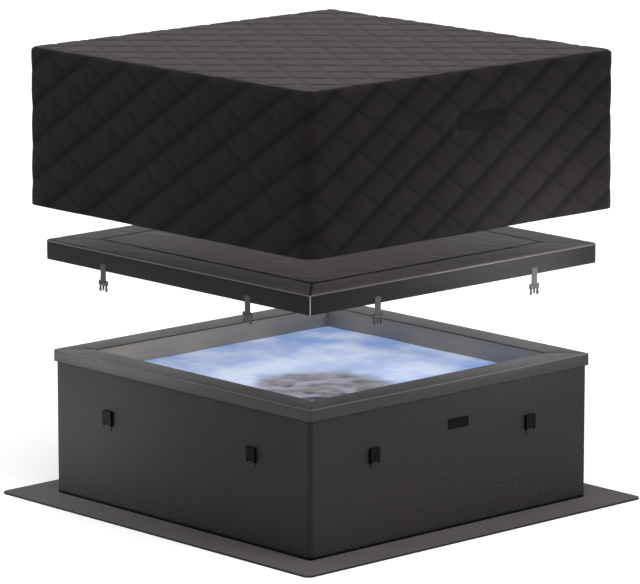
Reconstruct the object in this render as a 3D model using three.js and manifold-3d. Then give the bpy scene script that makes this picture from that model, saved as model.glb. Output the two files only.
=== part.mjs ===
// A foam hot tub on its ground mat, with its buckled lid and quilted cover held above it.
// Millimetres, +Z up. The origin is the middle of the ground mat's underside.
// Each side of the tub is drawn as the front one, which faces -Y, and then turned.

import * as THREE from 'three';
import { mergeVertices } from 'three/addons/utils/BufferGeometryUtils.js';
import Module from 'manifold-3d';

const wasm = await Module();
wasm.setup();

// Clearances
const seatGap = 0.3;
const seamGap = 0.6;
const barGap = 0.4;
const mergeStep = 0.0001;
const overrun = 1;
const unitLength = 1;

// Ground mat and tub
const tubWidth = 1850;
const tubHeight = 720;
const matMargin = 190;
const matThickness = 10;
const matCornerRadius = 35;
const rimWidth = 150;
const rimPadding = 20;
const rimEdgeRadius = 8;
const rimFlapDepth = 60;
const rimFlapThickness = 4.7;
const skinThickness = 3;
const skinCornerRadius = 20;
const linerThickness = 3;
const floorPadThickness = 40;

// Lid, with how far it is held above its closed place
const lidOverhang = 20;
const lidHeight = 103;
const lidCoreThickness = 45;
const lidSheetThickness = 3;
const lidEdgeRadius = 6;
const lidRestGap = 1;
const lidRaise = 502;

// Quilted cover, with how far it is held above its closed place on the lid
const coverEase = 50;
const coverHemGap = 10;
const quiltThickness = 10;
const coverCornerRadius = 70;
const coverRestGap = 1;
const coverRaise = 929;

// Webbing and where its buckles sit along a side
const webbingWidth = 38;
const webbingThickness = 2;
const buckleOffsetShare = 0.28;
const strapLength = 50;
const strapTabHeight = 33;
const strapHingeDrop = 1.5;
const socketDrop = 184;
const socketTabHeight = 30;

// Side-release buckle
const buckleWidth = 60;
const barRadius = 3;
const webbingSideGap = 1;
const prongPlateHeight = 14;
const prongPlateThickness = 10;
const prongLength = 30;
const prongRootWidth = 7;
const prongHeadHeight = 14;
const prongHeadReach = 4;
const prongTipWidth = 5;
const prongTipInset = 3;
const prongClearance = 0.3;
const guideWidth = 8;
const guideTipWidth = 5;
const guideLength = 25;
const socketMouthWidth = 50;
const socketMouthThickness = 8;
const socketDepth = 36;
const socketBodyWidth = 62;
const socketLipWidth = 57;
const socketLipHeight = 7;
const socketThickness = 14;
const socketBodyHeight = 62;
const socketTailHeight = 12;
const socketCornerRadius = 8;
const windowTop = 14;
const windowHeight = 18;

// Badge plates
const badgeThickness = 1.5;
const badgeCornerRadius = 4;
const tubBadgeWidth = 134;
const tubBadgeHeight = 51;
const tubBadgeDrop = 210;
const tubBadgeShift = 37;
const coverBadgeWidth = 274;
const coverBadgeHeight = 76;
const coverBadgeDrop = 242;
const coverBadgeShift = 87;

// Water fittings through the rear wall: one size for water, one for air and the drain
const waterPort = {
  boreRadius: 19, tubeRadius: 24, flangeRadius: 42, flangeThickness: 6,
  stubRadius: 28, stubLength: 20, capRadius: 36, capWall: 4, grilleBar: 4,
};
const smallPort = {
  boreRadius: 11, tubeRadius: 15, flangeRadius: 26, flangeThickness: 5,
  stubRadius: 18, stubLength: 18, capRadius: 24, capWall: 3, grilleBar: 3,
};
const capRibDepth = 1.2;
const capRibCount = 14;
const stepsPerRib = 4;
const waterPortOffset = 130;
const portBlockWidth = 130;
const waterPortHeight = 330;
const smallPortRise = 3;

// Filter on the inlet
const cupRadius = 62;
const cupWall = 4;
const cupDepth = 100;
const cupSlotWidth = 4;
const cupSlotLength = 66;
const cupSlotCount = 12;
const cartridgeRadius = 54;
const pleatDepth = 9;
const pleatCount = 24;
const cartridgeBoreRadius = 16;

// Bubble ring on the floor
const ringInset = 80;
const ringSection = 40;
const ringHeight = 25;
const bubbleHoleRadius = 3;
const bubbleHoleDepth = 6;
const bubbleHolesPerSide = 5;
const airBlockWidth = 60;
const airBlockHeight = 62;
const airBlockWall = 6;

const roundSegments = 24;
const smallRoundSegments = 12;
const arcSegments = 4;

// Heights that follow
const buckleOffset = tubWidth * buckleOffsetShare;
const matTop = matThickness;
const rimTop = matTop + tubHeight;
const rimHalf = tubWidth / 2;
const skinHalf = rimHalf - rimFlapThickness - seatGap;
const foamHalf = skinHalf - skinThickness - seatGap;
const foamCornerRadius = skinCornerRadius - skinThickness - seatGap;
const linerInner = rimHalf - rimWidth + rimFlapThickness + seatGap;
const foamInner = linerInner + linerThickness + seatGap;
const wallBottom = matTop + seatGap;
const wallTop = rimTop - rimPadding - seatGap;
const floorPadTop = wallBottom + floorPadThickness;
const linerBottom = floorPadTop + seatGap;
const linerFloor = linerBottom + linerThickness;
const wallThrough = skinHalf - linerInner;

const lidHalf = rimHalf + lidOverhang;
const lidWidth = 2 * lidHalf;
const lidClosedTop = rimTop + lidRestGap + lidCoreThickness + seatGap + lidSheetThickness;
const lidTop = lidClosedTop + lidRaise;
const lidBottom = lidTop - lidHeight;
const coverHalf = lidHalf + coverEase;
const coverWidth = 2 * coverHalf;
const coverClosedTop = lidClosedTop + coverRestGap + quiltThickness;
const coverTop = coverClosedTop + lidRaise + coverRaise;
const coverHeight = coverClosedTop - matTop - coverHemGap;
const coverBottom = coverTop - coverHeight;

const loopInner = barRadius + barGap;
const loopOuter = loopInner + webbingThickness;
const strapPlane = lidHalf + webbingThickness / 2;
const hingeHeight = lidBottom - strapHingeDrop;
const prongBarHeight = lidBottom - strapLength;
const socketMouthHeight = rimTop - rimFlapDepth - socketDrop;
const socketBarHeight = socketMouthHeight - socketBodyHeight - socketTailHeight + barRadius;
const socketBarPlane = skinHalf + loopOuter;
const smallPortHeight = linerFloor + smallPort.flangeRadius + smallPortRise;
const cupInner = cupRadius - cupWall;
const filterSeatRadius = cupInner - seatGap;

const quarterTurn = Math.PI / 2;
const eighthTurn = quarterTurn / 2;
const sides = ['front', 'right', 'rear', 'left'];
const frontTurn = sides.indexOf('front');
const rearTurn = sides.indexOf('rear');

// Finishes
function finish(color, roughness, metalness = 0) {
  return { color, roughness, metalness };
}
const finishes = {
  mat: finish(0x57555a, 0.95),
  foam: finish(0xd8d6cc, 0.95),
  skin: finish(0x2a292c, 0.6),
  liner: finish(0x3a3a3e, 0.5),
  rim: finish(0x4a494c, 0.5),
  lid: finish(0x3c3b3e, 0.5),
  quilt: finish(0x2b2a2d, 0.8),
  webbing: finish(0x6a696b, 0.9),
  prong: finish(0x59585a, 0.45),
  socket: finish(0x0c0c0e, 0.4),
  badge: finish(0x101012, 0.35),
  fitting: finish(0x55565a, 0.45),
  cartridge: finish(0xe8e8e4, 0.9),
};

const tub = new THREE.Group();

// Puts a geometry into the model as one named piece
function addPiece(name, geometry, finishName) {
  const material = new THREE.MeshStandardMaterial(finishes[finishName]);
  const mesh = new THREE.Mesh(geometry, material);
  mesh.name = name;
  tub.add(mesh);
  return mesh;
}

// Closed triangle meshes become solids that can be joined and cut, and come back
function solidOf(geometry) {
  const bare = geometry.clone();
  bare.deleteAttribute('normal');
  bare.deleteAttribute('uv');
  const merged = mergeVertices(bare, mergeStep);
  return new wasm.Manifold(new wasm.Mesh({
    numProp: 3,
    vertProperties: merged.attributes.position.array,
    triVerts: merged.index.array,
  }));
}

function geometryOf(solid) {
  const mesh = solid.getMesh();
  const geometry = new THREE.BufferGeometry();
  geometry.setAttribute('position', new THREE.BufferAttribute(mesh.vertProperties, 3));
  geometry.setIndex(new THREE.BufferAttribute(mesh.triVerts, 1));
  return geometry;
}

function joined(geometries) {
  const [first, ...others] = geometries.map(solidOf);
  return geometryOf(others.reduce((whole, part) => whole.add(part), first));
}

function overlap(geometry, other) {
  return geometryOf(solidOf(geometry).intersect(solidOf(other)));
}

function cut(geometry, tools) {
  return geometryOf(tools.map(solidOf).reduce((left, tool) => left.subtract(tool), solidOf(geometry)));
}

// A box between two corners
function box(low, high) {
  const size = high.map((value, axis) => value - low[axis]);
  const middle = high.map((value, axis) => (value + low[axis]) / 2);
  return new THREE.BoxGeometry(...size).translate(...middle);
}

function squareShape(half) {
  const shape = new THREE.Shape();
  shape.moveTo(-half, -half);
  shape.lineTo(half, -half);
  shape.lineTo(half, half);
  shape.lineTo(-half, half);
  shape.closePath();
  return shape;
}

function roundedRectangle(width, height, radius) {
  const right = width / 2;
  const top = height / 2;
  const shape = new THREE.Shape();
  shape.absarc(right - radius, top - radius, radius, 0, quarterTurn);
  shape.absarc(radius - right, top - radius, radius, quarterTurn, 2 * quarterTurn);
  shape.absarc(radius - right, radius - top, radius, 2 * quarterTurn, 3 * quarterTurn);
  shape.absarc(right - radius, radius - top, radius, 3 * quarterTurn, 4 * quarterTurn);
  shape.closePath();
  return shape;
}

function extruded(shape, depth, curveSegments = arcSegments) {
  return new THREE.ExtrudeGeometry(shape, { depth, bevelEnabled: false, curveSegments });
}

// An upright outline, drawn in x and z, becomes a plate between two distances from the axis
function uprightPlate(shape, inner, outer) {
  return extruded(shape, outer - inner).rotateX(quarterTurn).translate(0, -inner, 0);
}

// A bar along a side. The profile is drawn as depth in from the outside and height. An
// end is mitred, so that it runs back by that depth, unless it is given a square place.
function mitredBar(profile, half, lowEnd = null, highEnd = null) {
  const bar = extruded(profile, unitLength);
  const place = bar.attributes.position;
  for (let i = 0; i < place.count; i += 1) {
    const depth = place.getX(i);
    const mitre = half - depth - seamGap;
    const end = place.getZ(i) > 0 ? highEnd ?? mitre : lowEnd ?? -mitre;
    place.setXYZ(i, end, depth - half, place.getY(i));
  }
  return bar;
}

// A side panel in plan: straight, with half of each rounded corner at its ends
function cornerWrap(half, radius, thickness) {
  const centre = half - radius;
  const gap = seamGap / radius;
  const low = 5 * eighthTurn + gap;
  const high = 7 * eighthTurn - gap;
  const inner = radius - thickness;
  const shape = new THREE.Shape();
  shape.absarc(-centre, -centre, radius, low, 3 * quarterTurn);
  shape.absarc(centre, -centre, radius, 3 * quarterTurn, high);
  shape.absarc(centre, -centre, inner, high, 3 * quarterTurn, true);
  shape.absarc(-centre, -centre, inner, 3 * quarterTurn, low, true);
  shape.closePath();
  return shape;
}

function rectangleProfile(depth, bottom, top) {
  const shape = new THREE.Shape();
  shape.moveTo(0, bottom);
  shape.lineTo(depth, bottom);
  shape.lineTo(depth, top);
  shape.lineTo(0, top);
  shape.closePath();
  return shape;
}

function turned(geometry, turn) {
  return geometry.rotateZ(turn * quarterTurn);
}

// Rounds through the rear wall are drawn along the outward direction from the skin's face
function onRearWall(geometry, offset, height) {
  return geometry.rotateX(Math.PI).translate(offset, -skinHalf, height).rotateZ(rearTurn * quarterTurn);
}

function rod(radius, from, to, segments = roundSegments) {
  return new THREE.CylinderGeometry(radius, radius, to - from, segments).translate(0, (from + to) / 2, 0);
}

function barAlongSide(radius, length, plane, height) {
  return new THREE.CylinderGeometry(radius, radius, length, smallRoundSegments)
    .rotateZ(quarterTurn)
    .translate(0, -plane, height);
}

function waterPortAt(name, offset, innerRadius) {
  return { name, size: waterPort, offset, height: waterPortHeight, innerRadius };
}

function smallPortAt(name, offset) {
  return { name, size: smallPort, offset, height: smallPortHeight, innerRadius: smallPort.flangeRadius };
}

const ports = [
  waterPortAt('inlet', -waterPortOffset, filterSeatRadius),
  waterPortAt('outlet', waterPortOffset, waterPort.flangeRadius),
  smallPortAt('air', waterPortOffset),
  smallPortAt('drain', -waterPortOffset),
];

function portHoles() {
  const outside = overrun + seatGap;
  return ports.map(({ size, offset, height }) => {
    const hole = rod(size.tubeRadius + seatGap, -wallThrough - outside, outside);
    return onRearWall(hole, offset, height);
  });
}

// Ground mat, foam and liner
function groundMat() {
  const width = tubWidth + 2 * matMargin;
  return extruded(roundedRectangle(width, width, matCornerRadius), matThickness);
}

function floorPad() {
  const half = foamInner - seatGap;
  return box([-half, -half, wallBottom], [half, half, floorPadTop]);
}

function foamWall(turn, lowEnd, highEnd) {
  const profile = rectangleProfile(foamHalf - foamInner, wallBottom, wallTop);
  const wall = turned(mitredBar(profile, foamHalf, lowEnd, highEnd), turn);
  const outline = roundedRectangle(2 * foamHalf, 2 * foamHalf, foamCornerRadius);
  return overlap(wall, extruded(outline, wallTop));
}

// The rear wall's foam is in three blocks, which meet at the middles of the fittings
function rearFoamBlocks() {
  const seam = waterPortOffset - seamGap / 2;
  const end = seam + seamGap + portBlockWidth;
  const ends = [[-end, -seam - seamGap], [-seam, seam], [seam + seamGap, end]];
  return ends.map(([low, high]) => cut(foamWall(rearTurn, low, high), portHoles()));
}

// A side wall's foam turns the rear corner and runs up to the rear blocks
function sideFoam(turn) {
  const start = waterPortOffset + portBlockWidth + 3 * seamGap / 2;
  if (turn < rearTurn) {
    return joined([foamWall(turn, null, foamHalf), foamWall(rearTurn, -foamHalf, -start)]);
  }
  return joined([foamWall(turn, -foamHalf, null), foamWall(rearTurn, start, foamHalf)]);
}

function foamPiece(turn) {
  return turn === frontTurn ? foamWall(turn) : sideFoam(turn);
}

function innerLiner() {
  const outer = extruded(squareShape(linerInner + linerThickness), wallTop - linerBottom);
  const inner = extruded(squareShape(linerInner), wallTop - linerFloor + overrun);
  return cut(outer.translate(0, 0, linerBottom), [inner.translate(0, 0, linerFloor), ...portHoles()]);
}

// The webbing loop that holds a buckle's bar, drawn round the bar
function webbingLoop(plane, height) {
  const ring = new THREE.Shape();
  ring.absarc(0, 0, loopOuter, 0, 2 * Math.PI);
  const eye = new THREE.Path();
  eye.absarc(0, 0, loopInner, 0, 2 * Math.PI);
  ring.holes.push(eye);
  return extruded(ring, webbingWidth, smallRoundSegments / 2)
    .translate(0, 0, -webbingWidth / 2)
    .rotateY(quarterTurn)
    .translate(0, -plane, height);
}

function alongSide(offset, geometry, turn) {
  return turned(geometry.translate(offset, 0, 0), turn);
}

function eachBuckle(make) {
  sides.forEach((side, turn) => {
    [-buckleOffset, buckleOffset].forEach((offset, i) => make(`${side}_${i + 1}`, offset, turn));
  });
}

// One sewn wrap round the foam walls, with the webbing tabs that carry the sockets
function outerSkin() {
  const wrap = roundedRectangle(2 * skinHalf, 2 * skinHalf, skinCornerRadius);
  const inside = 2 * (skinHalf - skinThickness);
  wrap.holes.push(roundedRectangle(inside, inside, skinCornerRadius - skinThickness));
  const parts = [extruded(wrap, wallTop - wallBottom).translate(0, 0, wallBottom)];
  eachBuckle((name, offset, turn) => {
    const half = webbingWidth / 2;
    const tab = box(
      [-half, -skinHalf - webbingThickness, socketBarHeight - socketTabHeight],
      [half, -skinHalf + skinThickness / 2, socketBarHeight],
    );
    parts.push(alongSide(offset, tab, turn));
    parts.push(alongSide(offset, webbingLoop(socketBarPlane, socketBarHeight), turn));
  });
  return cut(joined(parts), portHoles());
}

// Padded cap over a wall: a soft top and a flap down each side
function rimCap(turn) {
  const flapBottom = rimTop - rimFlapDepth;
  const padBottom = rimTop - rimPadding;
  const inside = rimWidth - rimFlapThickness;
  const radius = rimEdgeRadius;
  const profile = new THREE.Shape();
  profile.moveTo(0, flapBottom);
  profile.lineTo(rimFlapThickness, flapBottom);
  profile.lineTo(rimFlapThickness, padBottom);
  profile.lineTo(inside, padBottom);
  profile.lineTo(inside, flapBottom);
  profile.lineTo(rimWidth, flapBottom);
  profile.absarc(rimWidth - radius, rimTop - radius, radius, 0, quarterTurn);
  profile.absarc(radius, rimTop - radius, radius, quarterTurn, 2 * quarterTurn);
  profile.closePath();
  return turned(mitredBar(profile, rimHalf), turn);
}

// The half of a buckle that stays on the tub: a flat mouth with side windows that the
// prong heads spring into, and a bar below for its webbing
function buckleSocket(offset, turn) {
  const half = socketBodyWidth / 2;
  const lip = socketLipWidth / 2;
  const radius = socketCornerRadius;
  const bottom = -socketBodyHeight - socketTailHeight;
  const outline = new THREE.Shape();
  outline.moveTo(-lip, 0);
  outline.quadraticCurveTo(-half, -socketLipHeight / 2, -half, -socketLipHeight - radius);
  outline.absarc(radius - half, bottom + radius, radius, 2 * quarterTurn, 3 * quarterTurn);
  outline.absarc(half - radius, bottom + radius, radius, 3 * quarterTurn, 4 * quarterTurn);
  outline.lineTo(half, -socketLipHeight - radius);
  outline.quadraticCurveTo(half, -socketLipHeight / 2, lip, 0);
  outline.closePath();
  const inner = skinHalf + seatGap;
  const outer = inner + socketThickness;
  const middle = (inner + outer) / 2;
  const mouth = socketMouthThickness / 2;
  const railInner = webbingWidth / 2 + webbingSideGap;
  const body = uprightPlate(outline, inner, outer);
  const cavity = box(
    [-socketMouthWidth / 2, -middle - mouth, -socketDepth],
    [socketMouthWidth / 2, -middle + mouth, overrun],
  );
  const windows = box(
    [-half - overrun, -middle - mouth, -windowTop - windowHeight],
    [half + overrun, -middle + mouth, -windowTop],
  );
  const tail = box(
    [-railInner, -outer - overrun, bottom - overrun],
    [railInner, -inner + overrun, -socketBodyHeight],
  );
  const bar = barAlongSide(barRadius, 2 * railInner + barRadius, socketBarPlane, bottom + barRadius);
  const open = cut(body, [cavity, windows, tail]);
  return alongSide(offset, joined([open, bar]).translate(0, 0, socketMouthHeight), turn);
}

// A strap hangs from the lid's skirt and ends in the loop that carries a prong half
function strap(offset, turn) {
  const half = webbingWidth / 2;
  const thin = webbingThickness / 2;
  const band = box(
    [-half, -strapPlane - thin, prongBarHeight + loopInner + thin],
    [half, -strapPlane + thin, hingeHeight],
  );
  const fold = barAlongSide(thin, webbingWidth, strapPlane, hingeHeight);
  const loop = webbingLoop(strapPlane, prongBarHeight);
  return alongSide(offset, joined([band, fold, loop]), turn);
}

// One springy arm, with a head that latches in the socket's window
function prongArm(mouthHalf) {
  const root = mouthHalf - prongClearance;
  const inner = root - prongRootWidth;
  const headTop = prongHeadHeight - prongLength;
  const shape = new THREE.Shape();
  shape.moveTo(inner, overrun);
  shape.lineTo(root, overrun);
  shape.lineTo(root, headTop);
  shape.lineTo(root + prongHeadReach, headTop);
  shape.quadraticCurveTo(root + prongHeadReach, -prongLength, root - prongTipInset, -prongLength);
  shape.lineTo(root - prongTipInset - prongTipWidth, -prongLength);
  shape.closePath();
  return shape;
}

function mirroredShape(shape) {
  return new THREE.Shape(shape.getPoints(arcSegments).map((p) => new THREE.Vector2(-p.x, p.y)));
}

function guidePost() {
  const shape = new THREE.Shape();
  shape.moveTo(-guideWidth / 2, overrun);
  shape.lineTo(-guideTipWidth / 2, -guideLength);
  shape.lineTo(guideTipWidth / 2, -guideLength);
  shape.lineTo(guideWidth / 2, overrun);
  shape.closePath();
  return shape;
}

// The half of a buckle that hangs on the strap: a bar, a plate and two springy arms
function buckleProngs(offset, turn) {
  const half = buckleWidth / 2;
  const railInner = webbingWidth / 2 + webbingSideGap;
  const slotBottom = -loopOuter - barGap;
  const plateBottom = slotBottom - prongPlateHeight;
  const inner = strapPlane - prongPlateThickness / 2;
  const outer = strapPlane + prongPlateThickness / 2;
  const frame = new THREE.Shape();
  frame.moveTo(-half, barRadius);
  frame.lineTo(-half, plateBottom);
  frame.lineTo(half, plateBottom);
  frame.lineTo(half, barRadius);
  frame.lineTo(railInner, barRadius);
  frame.lineTo(railInner, slotBottom);
  frame.lineTo(-railInner, slotBottom);
  frame.lineTo(-railInner, barRadius);
  frame.closePath();
  const thin = socketMouthThickness / 2 - prongClearance;
  const arm = prongArm(socketMouthWidth / 2);
  const arms = [arm, mirroredShape(arm), guidePost()].map((shape) => (
    uprightPlate(shape, strapPlane - thin, strapPlane + thin).translate(0, 0, plateBottom)
  ));
  const bar = barAlongSide(barRadius, 2 * railInner + barRadius, strapPlane, 0);
  const piece = joined([uprightPlate(frame, inner, outer), bar, ...arms]);
  return alongSide(offset, piece.translate(0, 0, prongBarHeight), turn);
}

// Lid: a top sheet, a skirt with the straps' sewn ends, and a foam core
function lidTopSheet() {
  const sheet = roundedRectangle(lidWidth, lidWidth, lidEdgeRadius);
  return extruded(sheet, lidSheetThickness).translate(0, 0, lidTop - lidSheetThickness);
}

function lidCore() {
  const half = lidHalf - lidSheetThickness - seatGap;
  const top = lidTop - lidSheetThickness - seatGap;
  return extruded(squareShape(half), lidCoreThickness).translate(0, 0, top - lidCoreThickness);
}

function lidSkirt() {
  const band = roundedRectangle(lidWidth, lidWidth, lidEdgeRadius);
  band.holes.push(squareShape(lidHalf - lidSheetThickness));
  const height = lidHeight - lidSheetThickness - seatGap;
  const parts = [extruded(band, height).translate(0, 0, lidBottom)];
  eachBuckle((name, offset, turn) => {
    const half = webbingWidth / 2;
    const tab = box(
      [-half, -lidHalf - webbingThickness, lidBottom],
      [half, -lidHalf + lidSheetThickness / 2, lidBottom + strapTabHeight],
    );
    parts.push(alongSide(offset, tab, turn));
  });
  return joined(parts);
}

// Quilted cover: a top panel and four side panels, sewn at the edges
function coverTopPanel() {
  const panel = roundedRectangle(coverWidth, coverWidth, coverCornerRadius);
  return extruded(panel, quiltThickness).translate(0, 0, coverTop - quiltThickness);
}

function coverSidePanel(turn) {
  const plan = cornerWrap(coverHalf, coverCornerRadius, quiltThickness);
  const height = coverHeight - quiltThickness - seatGap;
  return turned(extruded(plan, height).translate(0, 0, coverBottom), turn);
}

function badge(width, height, plane) {
  const outline = roundedRectangle(width, height, badgeCornerRadius);
  return uprightPlate(outline, plane + seatGap, plane + seatGap + badgeThickness);
}

// A fitting through the wall: flanges outside and inside, a bore and a crossed grille
function portFitting({ size, offset, height, innerRadius }) {
  const back = -wallThrough - seatGap;
  const profile = [
    [size.boreRadius, back - size.flangeThickness],
    [innerRadius, back - size.flangeThickness],
    [innerRadius, back],
    [size.tubeRadius, back],
    [size.tubeRadius, seatGap],
    [size.flangeRadius, seatGap],
    [size.flangeRadius, seatGap + size.flangeThickness],
    [size.stubRadius, seatGap + size.flangeThickness],
    [size.stubRadius, seatGap + size.flangeThickness + size.stubLength],
    [size.boreRadius, seatGap + size.flangeThickness + size.stubLength],
    [size.boreRadius, back - size.flangeThickness],
  ].map(([radius, along]) => new THREE.Vector2(radius, along));
  const body = new THREE.LatheGeometry(profile, roundSegments);
  const reach = size.boreRadius + overrun;
  const half = size.grilleBar / 2;
  const grilleBack = back - size.flangeThickness;
  const bars = [
    box([-reach, grilleBack, -half], [reach, back, half]),
    box([-half, grilleBack, -reach], [half, back, reach]),
  ];
  return onRearWall(joined([body, ...bars]), offset, height);
}

// A screw cap with a ribbed grip, hollow over its fitting's stub
function portCap({ size, offset, height }) {
  const outline = new THREE.Shape();
  const steps = capRibCount * stepsPerRib;
  for (let i = 0; i < steps; i += 1) {
    const angle = (2 * Math.PI * i) / steps;
    const radius = size.capRadius - (capRibDepth / 2) * (1 - Math.cos(capRibCount * angle));
    outline[i ? 'lineTo' : 'moveTo'](radius * Math.cos(angle), radius * Math.sin(angle));
  }
  outline.closePath();
  const start = seatGap + size.flangeThickness + seatGap;
  const hollow = size.stubLength + seatGap;
  const length = hollow + size.capWall;
  const shell = extruded(outline, length).rotateX(-quarterTurn).translate(0, start, 0);
  const inside = rod(size.stubRadius + seatGap, start - overrun, start + hollow - seatGap);
  return onRearWall(cut(shell, [inside]), offset, height);
}

// A slotted cup that fits round the inlet's inner flange and holds the filter
function filterCup({ offset, height }) {
  const mouth = -wallThrough - seatGap;
  const end = mouth - cupDepth;
  const profile = [
    [0, end],
    [cupRadius, end],
    [cupRadius, mouth],
    [cupInner, mouth],
    [cupInner, end + cupWall],
    [0, end + cupWall],
  ].map(([radius, along]) => new THREE.Vector2(radius, along));
  const cup = new THREE.LatheGeometry(profile, roundSegments);
  const slotEnd = (mouth + end - cupSlotLength) / 2;
  const slots = Array.from({ length: cupSlotCount }, (_, i) => (
    box(
      [cupInner - overrun - cupSlotWidth, slotEnd, -cupSlotWidth / 2],
      [cupRadius + overrun, slotEnd + cupSlotLength, cupSlotWidth / 2],
    ).rotateY((2 * Math.PI * (i + 1 / 2)) / cupSlotCount)
  ));
  return onRearWall(cut(cup, slots), offset, height);
}

// The pleated filter fills the cup from its end to the inlet's flange
function filterCartridge({ size, offset, height }) {
  const star = new THREE.Shape();
  for (let i = 0; i < 2 * pleatCount; i += 1) {
    const angle = (Math.PI * i) / pleatCount;
    const radius = cartridgeRadius - (i % 2) * pleatDepth;
    star[i ? 'lineTo' : 'moveTo'](radius * Math.cos(angle), radius * Math.sin(angle));
  }
  star.closePath();
  const eye = new THREE.Path();
  eye.absarc(0, 0, cartridgeBoreRadius, 0, 2 * Math.PI);
  star.holes.push(eye);
  const end = -wallThrough - seatGap - cupDepth + cupWall + seatGap;
  const length = cupDepth - cupWall - size.flangeThickness - 2 * seatGap;
  const body = extruded(star, length, smallRoundSegments).rotateX(-quarterTurn).translate(0, end, 0);
  return onRearWall(body, offset, height);
}

// A flat square duct with bubble holes
function bubbleRing() {
  const outer = linerInner - ringInset;
  const inner = outer - ringSection;
  const bottom = linerFloor + seatGap;
  const duct = squareShape(outer);
  duct.holes.push(squareShape(inner));
  const ring = extruded(duct, ringHeight).translate(0, 0, bottom);
  const pitch = (2 * outer) / (bubbleHolesPerSide + 1);
  const holes = sides.flatMap((side, turn) => (
    Array.from({ length: bubbleHolesPerSide }, (_, i) => {
      const hole = rod(bubbleHoleRadius, 0, bubbleHoleDepth + overrun, smallRoundSegments / 2);
      const along = (i + 1) * pitch - outer;
      hole.rotateX(quarterTurn);
      hole.translate(along, ringSection / 2 - outer, bottom + ringHeight - bubbleHoleDepth);
      return turned(hole, turn);
    })
  ));
  return cut(ring, holes);
}

// The block between the air fitting and the bubble ring
function airBlock({ size, offset, height }) {
  const bottom = linerFloor + seatGap;
  const ringFace = linerInner - ringInset + seatGap;
  const wallFace = linerInner - seatGap - size.flangeThickness - seatGap;
  const half = airBlockWidth / 2;
  const block = box(
    [-offset - half, ringFace, bottom],
    [-offset + half, wallFace, bottom + airBlockHeight],
  );
  const airWay = rod(size.boreRadius, ringFace + airBlockWall, wallFace + overrun);
  return cut(block, [airWay.translate(-offset, 0, height)]);
}

addPiece('ground_mat', groundMat(), 'mat');
addPiece('floor_foam', floorPad(), 'foam');
addPiece('inner_liner', innerLiner(), 'liner');
addPiece('outer_skin', outerSkin(), 'skin');
sides.forEach((side, turn) => {
  if (turn === rearTurn) {
    rearFoamBlocks().forEach((block, i) => addPiece(`wall_foam_rear_${i + 1}`, block, 'foam'));
  } else {
    addPiece(`wall_foam_${side}`, foamPiece(turn), 'foam');
  }
  addPiece(`rim_cap_${side}`, rimCap(turn), 'rim');
  addPiece(`cover_side_${side}`, coverSidePanel(turn), 'quilt');
});
addPiece('lid_top', lidTopSheet(), 'lid');
addPiece('lid_core', lidCore(), 'foam');
addPiece('lid_skirt', lidSkirt(), 'lid');
addPiece('cover_top', coverTopPanel(), 'quilt');

eachBuckle((name, offset, turn) => {
  addPiece(`buckle_socket_${name}`, buckleSocket(offset, turn), 'socket');
  addPiece(`strap_${name}`, strap(offset, turn), 'webbing');
  addPiece(`buckle_prongs_${name}`, buckleProngs(offset, turn), 'prong');
});

const tubBadge = badge(tubBadgeWidth, tubBadgeHeight, skinHalf);
const coverBadge = badge(coverBadgeWidth, coverBadgeHeight, coverHalf);
const rightTurn = sides.indexOf('right');
addPiece('tub_badge', turned(tubBadge.translate(tubBadgeShift, 0, rimTop - tubBadgeDrop), rightTurn), 'badge');
coverBadge.translate(coverBadgeShift, 0, coverTop - coverBadgeDrop);
addPiece('cover_badge', turned(coverBadge, rightTurn), 'badge');

ports.forEach((port) => {
  addPiece(`${port.name}_fitting`, portFitting(port), 'fitting');
  addPiece(`${port.name}_cap`, portCap(port), 'fitting');
});
const [inlet, , air] = ports;
addPiece('filter_cup', filterCup(inlet), 'fitting');
addPiece('filter_cartridge', filterCartridge(inlet), 'cartridge');
addPiece('bubble_ring', bubbleRing(), 'fitting');
addPiece('air_block', airBlock(air), 'fitting');

export default tub;
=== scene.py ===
# %% [markdown]
# # A foam hot tub, its lid and its quilted cover
#
# The tub stands on a ground mat with its water in. The lid and the quilted cover hang above
# it, as in an exploded drawing. The CAD model already holds every piece at its place and
# size, in metres. This lesson gives the soft pieces their real shapes, puts small rounds on
# the hard ones, and gives everything its finish.

# %% Load the frame
import math

import bpy
from mathutils import Matrix, Vector, noise


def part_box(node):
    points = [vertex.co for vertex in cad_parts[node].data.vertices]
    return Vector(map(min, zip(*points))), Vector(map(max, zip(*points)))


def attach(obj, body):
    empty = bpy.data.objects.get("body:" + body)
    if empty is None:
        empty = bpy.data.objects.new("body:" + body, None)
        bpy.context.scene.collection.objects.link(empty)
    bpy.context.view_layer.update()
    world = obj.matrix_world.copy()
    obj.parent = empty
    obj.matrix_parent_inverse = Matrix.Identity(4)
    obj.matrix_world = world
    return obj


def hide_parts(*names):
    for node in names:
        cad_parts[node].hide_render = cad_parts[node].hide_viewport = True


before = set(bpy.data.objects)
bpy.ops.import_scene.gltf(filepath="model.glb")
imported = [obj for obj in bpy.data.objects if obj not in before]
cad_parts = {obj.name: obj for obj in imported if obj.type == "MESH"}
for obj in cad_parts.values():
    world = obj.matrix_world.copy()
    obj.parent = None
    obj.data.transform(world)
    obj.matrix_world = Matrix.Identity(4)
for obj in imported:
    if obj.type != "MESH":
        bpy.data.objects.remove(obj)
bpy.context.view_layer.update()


def lowest(node):
    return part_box(node)[0]


def highest(node):
    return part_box(node)[1]


# %% [markdown]
# ## The camera
#
# The picture looks at the tub's corner from slightly above, through a long lens. A long lens
# keeps upright edges nearly parallel, and shows the tops of all three layers at once. The
# direction, the distance and the lens were worked out from where the corners of the tub, the
# lid and the cover fall in the picture.

# %% Camera
CAMERA_TURN = math.radians(47.09)
CAMERA_RISE = math.radians(11.3)
CAMERA_DISTANCE = 22.0
CAMERA_LENS = 254.0
AIM_HEIGHT = 1.0226
AIM_SHIFT = -0.0035


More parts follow.
